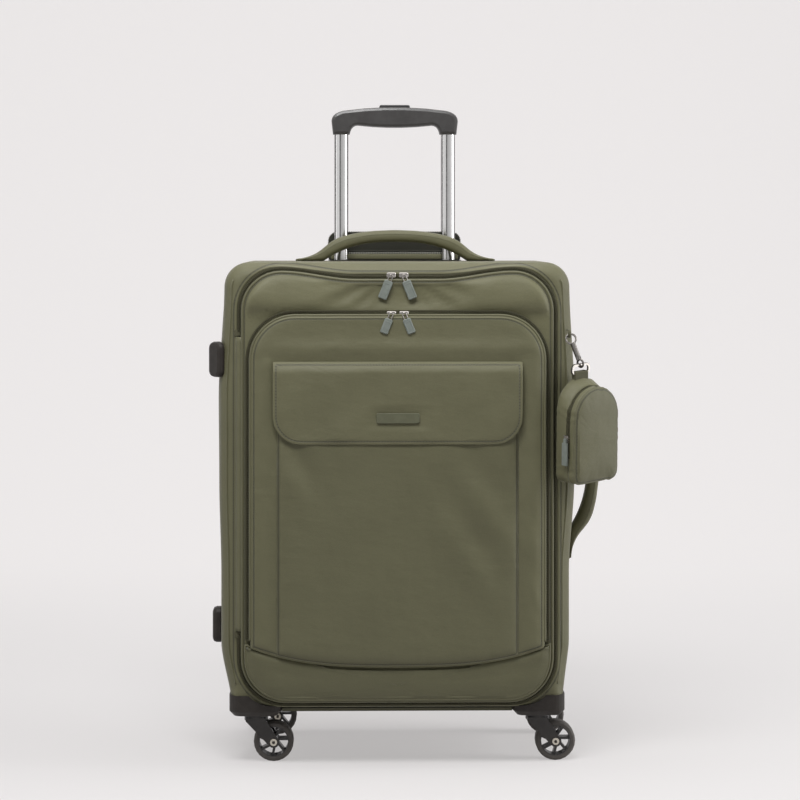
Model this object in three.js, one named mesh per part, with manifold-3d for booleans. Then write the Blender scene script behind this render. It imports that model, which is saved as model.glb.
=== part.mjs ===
// Softside upright suitcase, standing on its four casters with the trolley handle raised one stop.
// Millimetres, +Z up, the front faces -Y. The origin is on the underside of the base plate,
// in the middle of the case's width and depth.
import * as THREE from "three";
import { mergeVertices } from "three/addons/utils/BufferGeometryUtils.js";
import Module from "manifold-3d";

const wasm = await Module();
wasm.setup();

// General clearances
const seatGap = 0.3; // between two pieces that rest on each other
const runGap = 0.4; // round a piece that slides or turns in another
const throughCut = 2; // how far a cutting tool reaches past the wall that it opens

// Case body
const caseDepth = 247;
const caseHalfWidth = 231;
const baseHalfWidth = caseHalfWidth - 16;
const tuckHeight = 90; // below this the sides draw in towards the base
const caseTop = 582;
const caseWall = 4.5;
const topCornerRadius = 32;
const bottomCornerRadius = 14;
const frontEdgeRadius = 22;
const rearEdgeRadius = 10;
const bottomEdgeShare = 0.4; // the bottom edge is rounded this much less than the sides
const frontY = -caseDepth / 2;
const rearY = caseDepth / 2;

// Base plate
const basePlateThickness = 4;
const basePlateHalfWidth = baseHalfWidth - 12;
const basePlateHalfDepth = caseDepth / 2 - 11.5;
const caseLow = basePlateThickness + seatGap;

// Lid, the whole front of the case, and the main zip round it
const lidHalfWidth = caseHalfWidth - 31;
const lidLow = 16;
const lidTop = 574;
const lidTopSag = 15;
const lidTopRadius = 32;
const lidBottomRadius = 40;
const lidThickness = 14;
const lidInset = 4.5; // how far the lid's back lies behind the case's front edge
const lidEdge = 6;
const zipTape = 3.1; // width of one half of the main zip
const zipThickness = 4;
const hingeLow = 102;
const hingeTop = 490;
const lidBackY = frontY + lidInset;
const lidFrontY = lidBackY - lidThickness;

// Kick panel, the padded lower end of the lid
const kickThickness = 13;
const kickInset = 7;
const kickEdge = 5;
const smileDepth = 28;
const smileLow = 61.5;
const smileFlat = lidHalfWidth - 90;

// Front pocket
const pocketHalfWidth = lidHalfWidth - 11;
const pocketTop = 514;
const pocketRadius = 46;
const pocketSpace = 8; // depth of the room inside the front pocket
const pocketThickness = 8;
const pocketEdge = 4;
const gussetWidth = 5;
const pocketBackY = lidFrontY - pocketSpace;
const pocketFrontY = pocketBackY - pocketThickness;

// Patch pocket and its flap
const patchHalfWidth = pocketHalfWidth - 34;
const patchTop = 428;
const patchSpace = 5;
const patchWall = 2;
const patchSeam = 4;
const patchRise = 3; // how far the patch pocket stays above the seam
const flapHalfWidth = patchHalfWidth + 5;
const flapTop = 455;
const flapLow = 349;
const flapRadius = 36;
const flapThickness = 3;
const flapRootHeight = 6;
const labelWidth = 55;
const labelHeight = 13;
const labelThickness = 1.5;
const labelZ = 383;
const patchFrontY = pocketFrontY - seatGap - patchSpace - patchWall;
const flapBackY = patchFrontY - seatGap;
const flapFrontY = flapBackY - flapThickness;

// Zip sliders and their pull tabs
const sliderLength = 12;
const sliderHeight = 7;
const sliderThickness = 5;
const sliderSpacing = 16; // between the centres of the two sliders of a zip
const pullLink = 4; // width of the link between slider and tab
const pullLinkHeight = 2.2;
const pullSlant = THREE.MathUtils.degToRad(22);
const pullNeck = 8; // from the link's middle to the top of the tab
const mainPull = { width: 11.5, length: 25, thickness: 3.2 };
const pocketPull = { width: 10.5, length: 20, thickness: 3 };
const mainSliderRise = 2.8; // the main sliders ride this far above the lid's edge

// Carry handles
const handleHalfLength = 135;
const handleHalfGap = 89;
const handleRise = 41;
const handleThickness = 13;
const handleWidth = 34;
const handleTail = 4; // thickness of the handle's flat ends
const topHandleY = 38;
const sideHandleZ = 318;
const sideHandleY = 0;

// Feet on the left side, for laying the case down
const footLength = 46;
const footWidth = 26;
const footRise = 10;
const footCorner = 9;
const footEdge = 5;
const lowerFoot = { y: frontY + 53.5, z: 107, turn: 0 };
const upperFoot = { y: frontY + 17.5, z: 456, turn: 40 };

// Trolley handle
const trolleyY = rearY - 27.5;
const tubeSpacing = 147;
const trolleyTravel = 188; // travel of each of the two stages
const innerTube = { width: 19.5, depth: 12, wall: 1.5, low: 335 };
const middleWall = 1.2;
const outerWall = 1.3;
const tubeRadius = 4;
const gripBottom = 756;
const gripLegWidth = 27;
const gripHalfWidth = (tubeSpacing + gripLegWidth) / 2;
const gripLegFoot = 23; // width of a leg at its lower end, where it holds its tube
const gripTop = 793.5;
const gripShoulder = 774;
const gripUnderside = 768.5;
const gripBelly = 6; // the grip's lower side bulges down by half of this in its middle
const gripDepth = 25;
const gripEdge = 4;
const socketDepth = 15;
const buttonWidth = 42;
const buttonDepth = 12;
const buttonHeight = 6.8;
const buttonProud = 3.3;
const buttonTravel = 3;
const stemWidth = 16;
const stemDepth = 6;
const yokeHeight = 6;
const yokeDepth = 7;
const rodRadius = 2.5;
const rodEnd = 12; // the rods end this far above the inner tubes' lower ends
const cupWall = 2.5;
const cupDepth = 20;
const cupFlange = 1.6;
const cupCorner = 1.5; // inside corners of the recess
const flapBehindHalfWidth = tubeSpacing / 2 + 19;
const flapBehindHeight = 40;
const flapBehindThickness = 3.5;

// Lining panel in front of the trolley tubes
const liningThickness = 3;

// Casters
const swivelX = baseHalfWidth - 31.4;
const swivelY = caseDepth / 2 - 35.5;
const housingHalfWidth = 34;
const housingHalfDepth = 37.5;
const housingLow = -5;
const housingTaper = 6; // the housing's lower end is this much smaller all round
const housingLip = 22; // the housing wraps the corner of the case up to this height
const housingRadius = 16;
const forkHubRadius = 15.5;
const forkHubHeight = 9.4;
const forkArm = 3.6; // thickness of each arm
const armEnd = 7.5; // radius of an arm's end round the axle
const crownHalf = 13.5; // half the length of the fork's crown under its hub
const stemRadius = 5;
const stemLength = 9;
const wheelRadius = 26;
const wheelWidth = 22;
const wheelTrail = 23;
const tyreThickness = 5.2;
const tyreShoulder = 2.5;
const rimThickness = 2.2;
const rimSetback = 1; // how far tyre and rim lie inside the hub's two faces
const spokeSetback = 3.5;
const wheelHubRadius = 7;
const spokeCount = 7;
const spokeLean = 25; // degrees that a spoke leans off the radius
const spokeWidth = 3.2;
const axleRadius = 3;
const axleHead = 1.4;
const axleHeadRadius = 4.6;
const floorZ = -68;
const wheelZ = floorZ + wheelRadius;

// Clip-on pouch, hanging from a snap hook on the right-hand front corner
const hangX = caseHalfWidth - 9;
const hangY = frontY - 5;
const hangZ = 489;
const hangTilt = THREE.MathUtils.degToRad(20); // the hook leans out to the side by this much
const hangPitch = THREE.MathUtils.degToRad(12); // and forward by this much
const pouchYaw = THREE.MathUtils.degToRad(40);
const pouchPitch = THREE.MathUtils.degToRad(7); // the pouch's lower end leans back to the case
const clawRadius = 6.5;
const wireRadius = 1.5;
const hookBodyRadius = 3.5;
const hookBodyLength = 18;
const swivelPinRadius = 1.5;
const swivelPinLength = 7;
const eyeRadius = 5;
const collarHeight = 4;
const ringHalfWidth = 15;
const ringHeight = 12;
const ringCorner = 5.2;
const ringSetback = 15; // the ring hangs this far behind the middle of the pouch
const loopWidth = 4;
const loopWall = 1.6;
const loopSlack = 1.5; // extra room in front of and below the claw, which curves in the loop
const pouchHalfWidth = 40;
const pouchHeight = 133;
const pouchBackDepth = 24;
const pouchSlope = 9; // the round top falls this much from the back to the zip
const pouchFrontDepth = 16;
const pouchWall = 2.5;
const pouchCorner = 12;
const pouchEdge = 6;
const tabHalfWidth = 9.5;
const tabDepth = 7;
const tabFold = 2.4; // how far the tab's fold stands over the ring's wire
const pouchSliderShare = 0.55; // how far down the pouch its zip slider rests
const pouchSliderLength = 9;
const pouchSliderThickness = 2.6;
const pouchPullWidth = 9;
const pouchPullLength = 29;
const pouchPullThickness = 2.4;

// Turns a three.js geometry into a manifold solid.
function solid(geometry) {
  const bare = geometry.clone();
  bare.deleteAttribute("normal");
  bare.deleteAttribute("uv");
  const merged = mergeVertices(bare, 1e-4);
  const mesh = new wasm.Mesh({
    numProp: 3,
    vertProperties: merged.attributes.position.array,
    triVerts: new Uint32Array(merged.index.array),
  });
  return new wasm.Manifold(mesh);
}

// Turns a manifold solid back into a three.js geometry.
function geometryOf(made) {
  const mesh = made.getMesh();
  const geometry = new THREE.BufferGeometry();
  geometry.setAttribute("position", new THREE.BufferAttribute(mesh.vertProperties, 3));
  geometry.setIndex(new THREE.BufferAttribute(mesh.triVerts, 1));
  geometry.computeVertexNormals();
  return geometry;
}

// Materials
function finish(color, roughness, metalness = 0) {
  return new THREE.MeshStandardMaterial({ color, roughness, metalness, flatShading: true });
}
const finishes = {
  fabric: finish(0x646249, 0.8),
  lining: finish(0x3a3934, 0.9),
  zip: finish(0x4b4a3b, 0.7),
  plastic: finish(0x2c2a28, 0.5),
  wheel: finish(0x3b3836, 0.45),
  chrome: finish(0xd4d3d2, 0.2, 1),
  tab: finish(0x7c7f7a, 0.5),
};

const suitcase = new THREE.Group();

// Adds one named piece to a group.
function add(name, made, material, parent = suitcase) {
  const mesh = new THREE.Mesh(geometryOf(made), finishes[material]);
  mesh.name = name;
  parent.add(mesh);
  return mesh;
}

// Basic solids
function box(x0, y0, z0, x1, y1, z1) {
  const geometry = new THREE.BoxGeometry(x1 - x0, y1 - y0, z1 - z0);
  geometry.translate((x0 + x1) / 2, (y0 + y1) / 2, (z0 + z1) / 2);
  return solid(geometry);
}

function uprightCylinder(radius, x, y, low, high, sides = 16) {
  const geometry = new THREE.CylinderGeometry(radius, radius, high - low, sides);
  geometry.rotateX(Math.PI / 2);
  geometry.translate(x, y, (low + high) / 2);
  return solid(geometry);
}

function crossCylinder(radius, x, z, yFront, yBack, sides = 12) {
  const geometry = new THREE.CylinderGeometry(radius, radius, yBack - yFront, sides);
  geometry.translate(x, (yFront + yBack) / 2, z);
  return solid(geometry);
}

// A plate that stands upright: the shape is drawn as x and z, and its edges are rounded by edge.
function plate(shape, yBack, yFront, edge = 0, curveSegments = 4) {
  const geometry = new THREE.ExtrudeGeometry(shape, {
    depth: yBack - yFront - 2 * edge,
    bevelEnabled: edge > 0,
    bevelThickness: edge,
    bevelSize: edge,
    bevelOffset: -edge,
    bevelSegments: edge > 3 ? 2 : 1,
    curveSegments,
  });
  geometry.rotateX(Math.PI / 2);
  geometry.translate(0, yBack - edge, 0);
  return solid(geometry);
}

// A block that is drawn from above, as x and y, and rises from low to high.
function risingBlock(shape, low, high, curveSegments = 3) {
  const geometry = new THREE.ExtrudeGeometry(shape, {
    depth: high - low,
    bevelEnabled: false,
    curveSegments,
  });
  geometry.translate(0, 0, low);
  return solid(geometry);
}

function roundedRectangle(u0, v0, u1, v1, radius) {
  const shape = new THREE.Shape();
  shape.moveTo(u0 + radius, v0);
  shape.lineTo(u1 - radius, v0);
  shape.absarc(u1 - radius, v0 + radius, radius, -Math.PI / 2, 0);
  shape.lineTo(u1, v1 - radius);
  shape.absarc(u1 - radius, v1 - radius, radius, 0, Math.PI / 2);
  shape.lineTo(u0 + radius, v1);
  shape.absarc(u0 + radius, v1 - radius, radius, Math.PI / 2, Math.PI);
  shape.lineTo(u0, v0 + radius);
  shape.absarc(u0 + radius, v0 + radius, radius, Math.PI, 1.5 * Math.PI);
  return shape;
}

// Joins rings of equal point count into one closed solid, each end closed by a fan.
// Each ring runs counter-clockwise as seen from the last ring.
function loft(rings) {
  const count = rings[0].length;
  const points = rings.flat();
  const triangles = [];
  for (let r = 0; r + 1 < rings.length; r += 1) {
    for (let i = 0; i < count; i += 1) {
      const next = (i + 1) % count;
      const a = r * count + i;
      const b = r * count + next;
      const c = (r + 1) * count + next;
      const d = (r + 1) * count + i;
      triangles.push(a, b, c, a, c, d);
    }
  }
  const last = (rings.length - 1) * count;
  const firstCentre = points.length;
  const lastCentre = firstCentre + 1;
  points.push(middleOf(rings[0]), middleOf(rings[rings.length - 1]));
  for (let i = 0; i < count; i += 1) {
    const next = (i + 1) % count;
    triangles.push(firstCentre, next, i);
    triangles.push(lastCentre, last + i, last + next);
  }
  const geometry = new THREE.BufferGeometry().setFromPoints(points);
  geometry.setIndex(triangles);
  return solid(geometry);
}

function middleOf(ring) {
  const sum = ring.reduce((total, point) => total.add(point), new THREE.Vector3());
  return sum.divideScalar(ring.length);
}

// A torus of round wire whose hole runs along Y.
function wireRing(radius, wire, x, z, sides = 12) {
  const geometry = new THREE.TorusGeometry(radius, wire, 6, sides);
  geometry.rotateX(Math.PI / 2);
  geometry.translate(x, 0, z);
  return solid(geometry);
}

// How wide the case is at a height, as a share of its full width.
function widthShare(z) {
  const t = THREE.MathUtils.clamp((tuckHeight - z) / (tuckHeight - caseLow), 0, 1);
  const eased = t * t * (3 - 2 * t);
  return 1 - eased * (1 - baseHalfWidth / caseHalfWidth);
}

// One ring of the case's outside, drawn in from the outer shape by inset and lying at y.
function caseRing(y, inset, grow) {
  const half = caseHalfWidth - inset + grow;
  const low = caseLow + inset * bottomEdgeShare - grow;
  const high = caseTop - inset + grow;
  const top = Math.max(topCornerRadius - inset / 2, caseWall);
  const bottom = bottomCornerRadius;
  const ring = [];
  const arc = (cx, cz, radius, start) => {
    const steps = 4;
    for (let i = 0; i <= steps; i += 1) {
      const angle = start + (i / steps) * (Math.PI / 2);
      ring.push([cx + radius * Math.cos(angle), cz + radius * Math.sin(angle)]);
    }
  };
  const side = (x, from, to) => {
    const steps = 5;
    for (let i = 1; i < steps; i += 1) ring.push([x, from + ((to - from) * i) / steps]);
  };
  arc(half - bottom, low + bottom, bottom, -Math.PI / 2);
  side(half, low + bottom, tuckHeight);
  side(half, tuckHeight, high - top);
  arc(half - top, high - top, top, 0);
  arc(-half + top, high - top, top, Math.PI / 2);
  side(-half, high - top, tuckHeight);
  side(-half, tuckHeight, low + bottom);
  arc(-half + bottom, low + bottom, bottom, Math.PI);
  return ring.map(([x, z]) => new THREE.Vector3(x * widthShare(z), y, z));
}

// The case's outer form, from its back to its front, grown or shrunk all over by grow.
function caseForm(grow = 0) {
  const steps = 3;
  const rings = [];
  for (let i = 0; i <= steps; i += 1) {
    const angle = (i / steps) * (Math.PI / 2);
    const inset = rearEdgeRadius * (1 - Math.sin(angle));
    const back = rearEdgeRadius * (1 - Math.cos(angle));
    rings.push(caseRing(rearY + grow - back, inset, grow));
  }
  for (let i = 0; i <= steps; i += 1) {
    const angle = (i / steps) * (Math.PI / 2);
    const inset = frontEdgeRadius * (1 - Math.cos(angle));
    const ahead = frontEdgeRadius * (1 - Math.sin(angle));
    rings.push(caseRing(frontY - grow + ahead, inset, grow));
  }
  return loft(rings);
}

// The lid's outline, grown all round by grow. Its top edge sags in the middle.
function lidOutline(grow = 0) {
  const half = lidHalfWidth + grow;
  const low = lidLow - grow;
  const top = lidTop + grow;
  const upper = lidTopRadius + grow;
  const lower = lidBottomRadius + grow;
  const shape = new THREE.Shape();
  shape.moveTo(-half + lower, low);
  shape.lineTo(half - lower, low);
  shape.absarc(half - lower, low + lower, lower, -Math.PI / 2, 0);
  shape.lineTo(half, top - upper);
  shape.absarc(half - upper, top - upper, upper, 0, Math.PI / 2);
  shape.quadraticCurveTo(0, top - 2 * lidTopSag, -half + upper, top);
  shape.absarc(-half + upper, top - upper, upper, Math.PI / 2, Math.PI);
  shape.lineTo(-half, low + lower);
  shape.absarc(-half + lower, low + lower, lower, Math.PI, 1.5 * Math.PI);
  return shape;
}

// Height of the curved seam between front pocket and kick panel where it meets the sides.
const smileEnd = smileLow + smileDepth;

// Draws the seam from the left end to the right end, or back again.
function drawSmile(shape, half, shift, direction) {
  const end = smileEnd + shift;
  const low = smileLow + shift;
  const bend = smileLow + smileDepth * 0.3 + shift;
  const near = half * 0.8;
  shape.bezierCurveTo(-direction * near, bend, -direction * smileFlat, low, 0, low);
  shape.bezierCurveTo(direction * smileFlat, low, direction * near, bend, direction * half, end);
}

function kickOutline() {
  const half = lidHalfWidth - kickInset;
  const low = lidLow + kickInset;
  const corner = lidBottomRadius - kickInset / 2;
  const shape = new THREE.Shape();
  shape.moveTo(-half + corner, low);
  shape.lineTo(half - corner, low);
  shape.absarc(half - corner, low + corner, corner, -Math.PI / 2, 0);
  shape.lineTo(half, smileEnd - seatGap);
  drawSmile(shape, half, -seatGap, -1);
  shape.lineTo(-half, low + corner);
  shape.absarc(-half + corner, low + corner, corner, Math.PI, 1.5 * Math.PI);
  return shape;
}

// The front pocket's outline: an upright panel with round top corners on the curved seam.
function pocketOutline(inset = 0) {
  const half = pocketHalfWidth - inset;
  const top = pocketTop - inset;
  const radius = pocketRadius - inset;
  const shape = new THREE.Shape();
  shape.moveTo(-half, smileEnd + seatGap);
  drawSmile(shape, half, seatGap, 1);
  shape.lineTo(half, top - radius);
  shape.absarc(half - radius, top - radius, radius, 0, Math.PI / 2);
  shape.lineTo(-half + radius, top);
  shape.absarc(-half + radius, top - radius, radius, Math.PI / 2, Math.PI);
  shape.lineTo(-half, smileEnd + seatGap);
  return shape;
}

function patchOutline(half, top, rise) {
  const shape = new THREE.Shape();
  const end = smileEnd + rise - smileDepth * 0.5;
  const low = smileLow + rise;
  shape.moveTo(-half, end);
  shape.bezierCurveTo(-half * 0.85, low, -smileFlat * 0.6, low, 0, low);
  shape.bezierCurveTo(smileFlat * 0.6, low, half * 0.85, low, half, end);
  shape.lineTo(half, top);
  shape.lineTo(-half, top);
  shape.lineTo(-half, end);
  return shape;
}

function flapOutline() {
  const shape = new THREE.Shape();
  shape.moveTo(-flapHalfWidth + flapRadius, flapLow);
  shape.lineTo(flapHalfWidth - flapRadius, flapLow);
  shape.absarc(flapHalfWidth - flapRadius, flapLow + flapRadius, flapRadius, -Math.PI / 2, 0);
  shape.lineTo(flapHalfWidth, flapTop);
  shape.lineTo(-flapHalfWidth, flapTop);
  shape.lineTo(-flapHalfWidth, flapLow + flapRadius);
  shape.absarc(-flapHalfWidth + flapRadius, flapLow + flapRadius, flapRadius, Math.PI, 1.5 * Math.PI);
  return shape;
}

// Case body and what is fixed to it
const caseOutside = caseForm();
const caseGrown = caseForm(seatGap);
const zipTotal = 2 * zipTape + 3 * seatGap;

function cupHole(grow) {
  const halfWidth = gripHalfWidth + runGap + cupWall + grow;
  const halfDepth = gripDepth / 2 + runGap + cupWall + grow;
  return roundedRectangle(
    -halfWidth,
    trolleyY - halfDepth,
    halfWidth,
    trolleyY + halfDepth,
    halfDepth / 3,
  );
}

function caseShell() {
  const inside = caseForm(-caseWall);
  const lidOpening = plate(lidOutline(zipTotal), frontY + caseWall + throughCut, frontY - throughCut);
  const cupOpening = risingBlock(cupHole(seatGap), caseTop - caseWall - throughCut, caseTop + throughCut);
  return caseOutside.subtract(inside).subtract(lidOpening).subtract(cupOpening);
}

function liningPanel() {
  const room = caseForm(-caseWall - seatGap);
  const front = trolleyY - outerTube.depth / 2 - seatGap - liningThickness;
  const slab = box(
    -caseHalfWidth,
    front,
    0,
    caseHalfWidth,
    front + liningThickness,
    caseTop - cupDepth - cupWall - throughCut,
  );
  return room.intersect(slab);
}

function basePlate() {
  const half = basePlateHalfWidth;
  let made = box(-half, -basePlateHalfDepth, 0, half, basePlateHalfDepth, basePlateThickness);
  for (const side of [-1, 1]) {
    for (const end of [-1, 1]) {
      const reachX = housingHalfWidth + seatGap;
      const reachY = housingHalfDepth + seatGap;
      const x0 = side * swivelX - reachX - (side < 0 ? housingHalfWidth : 0);
      const x1 = side * swivelX + reachX + (side > 0 ? housingHalfWidth : 0);
      const y0 = end * swivelY - reachY - (end < 0 ? housingHalfDepth : 0);
      const y1 = end * swivelY + reachY + (end > 0 ? housingHalfDepth : 0);
      made = made.subtract(box(x0, y0, -throughCut, x1, y1, basePlateThickness + throughCut));
    }
  }
  return made;
}

function casterHousing(side, end) {
  const x = side * swivelX;
  const y = end * swivelY;
  const outline = (inset) =>
    roundedRectangle(
      x - housingHalfWidth + inset,
      y - housingHalfDepth + inset,
      x + housingHalfWidth - inset,
      y + housingHalfDepth - inset,
      housingRadius - inset,
    );
  const block = wasm.Manifold.hull([
    risingBlock(outline(0), housingLow + housingTaper, housingLip),
    risingBlock(outline(housingTaper), housingLow, housingLow + 1),
  ]);
  const boreTop = housingLow + stemLength + runGap;
  const bore = uprightCylinder(stemRadius + runGap, x, y, housingLow - throughCut, boreTop);
  const lidRoom = plate(lidOutline(zipTotal + seatGap), frontY + frontEdgeRadius, lidFrontY - throughCut);
  const aheadOfRear = box(-caseHalfWidth, -caseDepth, housingLow, caseHalfWidth, rearY, housingLip);
  return block.intersect(aheadOfRear).subtract(caseGrown).subtract(lidRoom).subtract(bore);
}

// A half of a zip: a ring round an outline, from grow to grow + tape.
function zipRing(outline, from, to, yBack, yFront) {
  return plate(outline(to), yBack, yFront).subtract(
    plate(outline(from), yBack + throughCut, yFront - throughCut),
  );
}

// The main zip leaves out the stretch on the left where the lid is hinged.
function mainZip(from, to) {
  const ring = zipRing(lidOutline, from, to, frontY + zipThickness - 1, frontY - 1);
  const reach = lidHalfWidth + zipTotal + throughCut;
  const gap = box(-reach, frontY - 2 * zipThickness, hingeLow, 0, frontY + 2 * zipThickness, hingeTop);
  return ring.subtract(gap);
}

// How high the underside and the top of a carry handle are above its seat, at a distance from its middle.
function handleUnderside(along) {
  const share = Math.min(Math.abs(along) / handleHalfGap, 1);
  return (handleRise - handleThickness) * (1 - share ** 2.6);
}

function handleTop(along) {
  const share = Math.abs(along) / handleHalfLength;
  return handleTail + (handleRise - handleTail) * (1 - share ** 2) ** 1.15;
}

// A padded carry handle, seated on the plane z = 0 and centred on the origin, along X.
function carryHandle() {
  const steps = 16;
  const rings = [];
  for (let i = 0; i <= steps; i += 1) {
    const along = handleHalfLength * Math.sin((i / steps - 0.5) * Math.PI);
    const low = handleUnderside(along);
    const high = handleTop(along);
    const ring = [];
    const sides = 12;
    for (let k = 0; k < sides; k += 1) {
      const angle = (2 * Math.PI * (k + 0.5)) / sides;
      const across = Math.sign(Math.cos(angle)) * Math.abs(Math.cos(angle)) ** 0.5;
      const up = Math.sign(Math.sin(angle)) * Math.abs(Math.sin(angle)) ** 0.5;
      const y = (handleWidth / 2) * across;
      const z = (low + high) / 2 + ((high - low) / 2) * up;
      ring.push(new THREE.Vector3(along, y, Math.max(z, 0)));
    }
    rings.push(ring);
  }
  return loft(rings);
}

function sideFoot(place) {
  const half = footLength / 2;
  const wide = footWidth / 2;
  const face = roundedRectangle(-wide, -half, wide, half, footCorner);
  return plate(face, footRise, -footRise, footEdge)
    .rotate([0, 0, place.turn - 90])
    .translate([footSeat(place.y), place.y, place.z])
    .subtract(caseGrown);
}

// The case's left side at a depth y, on its rounded front edge.
function footSeat(y) {
  const ahead = Math.max(frontY + frontEdgeRadius - y, 0);
  const inset = frontEdgeRadius - Math.sqrt(Math.max(frontEdgeRadius ** 2 - ahead ** 2, 0));
  return -caseHalfWidth + inset;
}

// Trolley tubes, each one a rounded box section that runs in the next
function sectionShape(width, depth) {
  const u = width / 2;
  const v = depth / 2;
  return roundedRectangle(-u, -v, u, v, Math.min(tubeRadius, v - 1));
}

function tube(section, low, high, x) {
  const wall = section.wall;
  const outer = risingBlock(sectionShape(section.width, section.depth), low, high, 2);
  const inner = risingBlock(
    sectionShape(section.width - 2 * wall, section.depth - 2 * wall),
    low - throughCut,
    high + throughCut,
    2,
  );
  return outer.subtract(inner).translate([x, trolleyY, 0]);
}

function around(section, wall) {
  const grow = 2 * (runGap + wall);
  return { width: section.width + grow, depth: section.depth + grow, wall };
}

const middleTube = around(innerTube, middleWall);
const outerTube = around(middleTube, outerWall);
const cupFloorTop = caseTop - cupDepth;
const outerTubeTop = cupFloorTop + 1;
const middleTubeTop = outerTubeTop + 1;
const middleTubeLow = innerTube.low - trolleyTravel - runGap - 6;
const tubeX = tubeSpacing / 2;

function trolleyCup() {
  const low = cupFloorTop - cupWall;
  const inside = roundedRectangle(
    -gripHalfWidth - runGap,
    trolleyY - gripDepth / 2 - runGap,
    gripHalfWidth + runGap,
    trolleyY + gripDepth / 2 + runGap,
    cupCorner,
  );
  let made = risingBlock(cupHole(0), low, caseTop);
  const flange = risingBlock(cupHole(cupFlange), caseTop + seatGap, caseTop + seatGap + 1);
  made = made.add(flange).add(risingBlock(cupHole(-cupWall / 2), caseTop - 1, caseTop + 1));
  made = made.subtract(risingBlock(inside, cupFloorTop, caseTop + 2 * throughCut));
  for (const side of [-1, 1]) {
    const hole = risingBlock(
      sectionShape(outerTube.width + 2 * seatGap, outerTube.depth + 2 * seatGap),
      low - throughCut,
      cupFloorTop + throughCut,
    );
    made = made.subtract(hole.translate([side * tubeX, trolleyY, 0]));
  }
  return made;
}

function gripShape() {
  const shape = new THREE.Shape();
  const half = gripHalfWidth;
  const inner = half - gripLegWidth;
  const footOuter = tubeX + gripLegFoot / 2;
  const footInner = tubeX - gripLegFoot / 2;
  shape.moveTo(-footOuter, gripBottom);
  shape.lineTo(-footInner, gripBottom);
  shape.quadraticCurveTo(-inner, gripUnderside, -inner + 9, gripUnderside);
  shape.quadraticCurveTo(0, gripUnderside - gripBelly, inner - 9, gripUnderside);
  shape.quadraticCurveTo(inner, gripUnderside, footInner, gripBottom);
  shape.lineTo(footOuter, gripBottom);
  shape.lineTo(half, gripShoulder);
  shape.quadraticCurveTo(half, gripShoulder + 11, half - 16, gripTop - 5);
  shape.quadraticCurveTo(0, gripTop + 5, -half + 16, gripTop - 5);
  shape.quadraticCurveTo(-half, gripShoulder + 11, -half, gripShoulder);
  return shape;
}

const socketTop = gripBottom + socketDepth;
const yokeLow = socketTop + seatGap + buttonTravel + 1;
const yokeTop = yokeLow + yokeHeight;
const buttonTop = gripTop + buttonProud;
const buttonLow = buttonTop - buttonHeight;
const buttonFloor = buttonLow - buttonTravel - runGap;
const yokeHalf = tubeX + rodRadius;

function grip() {
  let made = plate(gripShape(), trolleyY + gripDepth / 2, trolleyY - gripDepth / 2, gripEdge, 5);
  const channel = box(
    -yokeHalf - runGap,
    trolleyY - yokeDepth / 2 - runGap,
    socketTop - throughCut,
    yokeHalf + runGap,
    trolleyY + yokeDepth / 2 + runGap,
    yokeTop + runGap,
  );
  const buttonHole = box(
    -buttonWidth / 2 - runGap,
    trolleyY - buttonDepth / 2 - runGap,
    buttonFloor,
    buttonWidth / 2 + runGap,
    trolleyY + buttonDepth / 2 + runGap,
    buttonTop + throughCut,
  );
  const stemHole = box(
    -stemWidth / 2 - runGap,
    trolleyY - stemDepth / 2 - runGap,
    yokeTop - 1,
    stemWidth / 2 + runGap,
    trolleyY + stemDepth / 2 + runGap,
    buttonFloor + 1,
  );
  made = made.subtract(channel).subtract(buttonHole).subtract(stemHole);
  for (const side of [-1, 1]) {
    const socket = risingBlock(
      sectionShape(innerTube.width + 2 * seatGap, innerTube.depth + 2 * seatGap),
      gripBottom - throughCut,
      socketTop + seatGap,
      2,
    );
    made = made.subtract(socket.translate([side * tubeX, trolleyY, 0]));
  }
  return made;
}

function releaseButton() {
  const cap = plate(
    roundedRectangle(-buttonWidth / 2, buttonLow, buttonWidth / 2, buttonTop, 2.5),
    trolleyY + buttonDepth / 2,
    trolleyY - buttonDepth / 2,
    1,
    2,
  );
  const stem = box(
    -stemWidth / 2,
    trolleyY - stemDepth / 2,
    yokeTop + seatGap,
    stemWidth / 2,
    trolleyY + stemDepth / 2,
    buttonLow + 1,
  );
  return cap.add(stem);
}

function releaseYoke() {
  let made = box(
    -yokeHalf,
    trolleyY - yokeDepth / 2,
    yokeLow,
    yokeHalf,
    trolleyY + yokeDepth / 2,
    yokeTop,
  );
  for (const side of [-1, 1]) {
    const rod = uprightCylinder(rodRadius, side * tubeX, trolleyY, innerTube.low + rodEnd, yokeLow + 1, 8);
    made = made.add(rod);
  }
  return made;
}

const backFlapY = trolleyY + gripDepth / 2 + runGap + cupWall + cupFlange + seatGap;

function trolleyFlap() {
  const half = flapBehindHalfWidth;
  const low = caseTop + seatGap;
  const radius = flapBehindHeight / 3;
  const shape = new THREE.Shape();
  shape.moveTo(-half, low);
  shape.lineTo(half, low);
  shape.lineTo(half, low + flapBehindHeight - radius);
  shape.absarc(half - radius, low + flapBehindHeight - radius, radius, 0, Math.PI / 2);
  shape.lineTo(-half + radius, low + flapBehindHeight);
  shape.absarc(-half + radius, low + flapBehindHeight - radius, radius, Math.PI / 2, Math.PI);
  shape.lineTo(-half, low);
  return plate(shape, backFlapY + flapBehindThickness, backFlapY, 0.8);
}

// Lid with its kick panel
function lidPanel() {
  const panel = plate(lidOutline(), lidBackY, lidFrontY, lidEdge);
  const kick = plate(kickOutline(), lidFrontY + 1, lidFrontY - kickThickness, kickEdge);
  return panel.add(kick);
}

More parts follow.
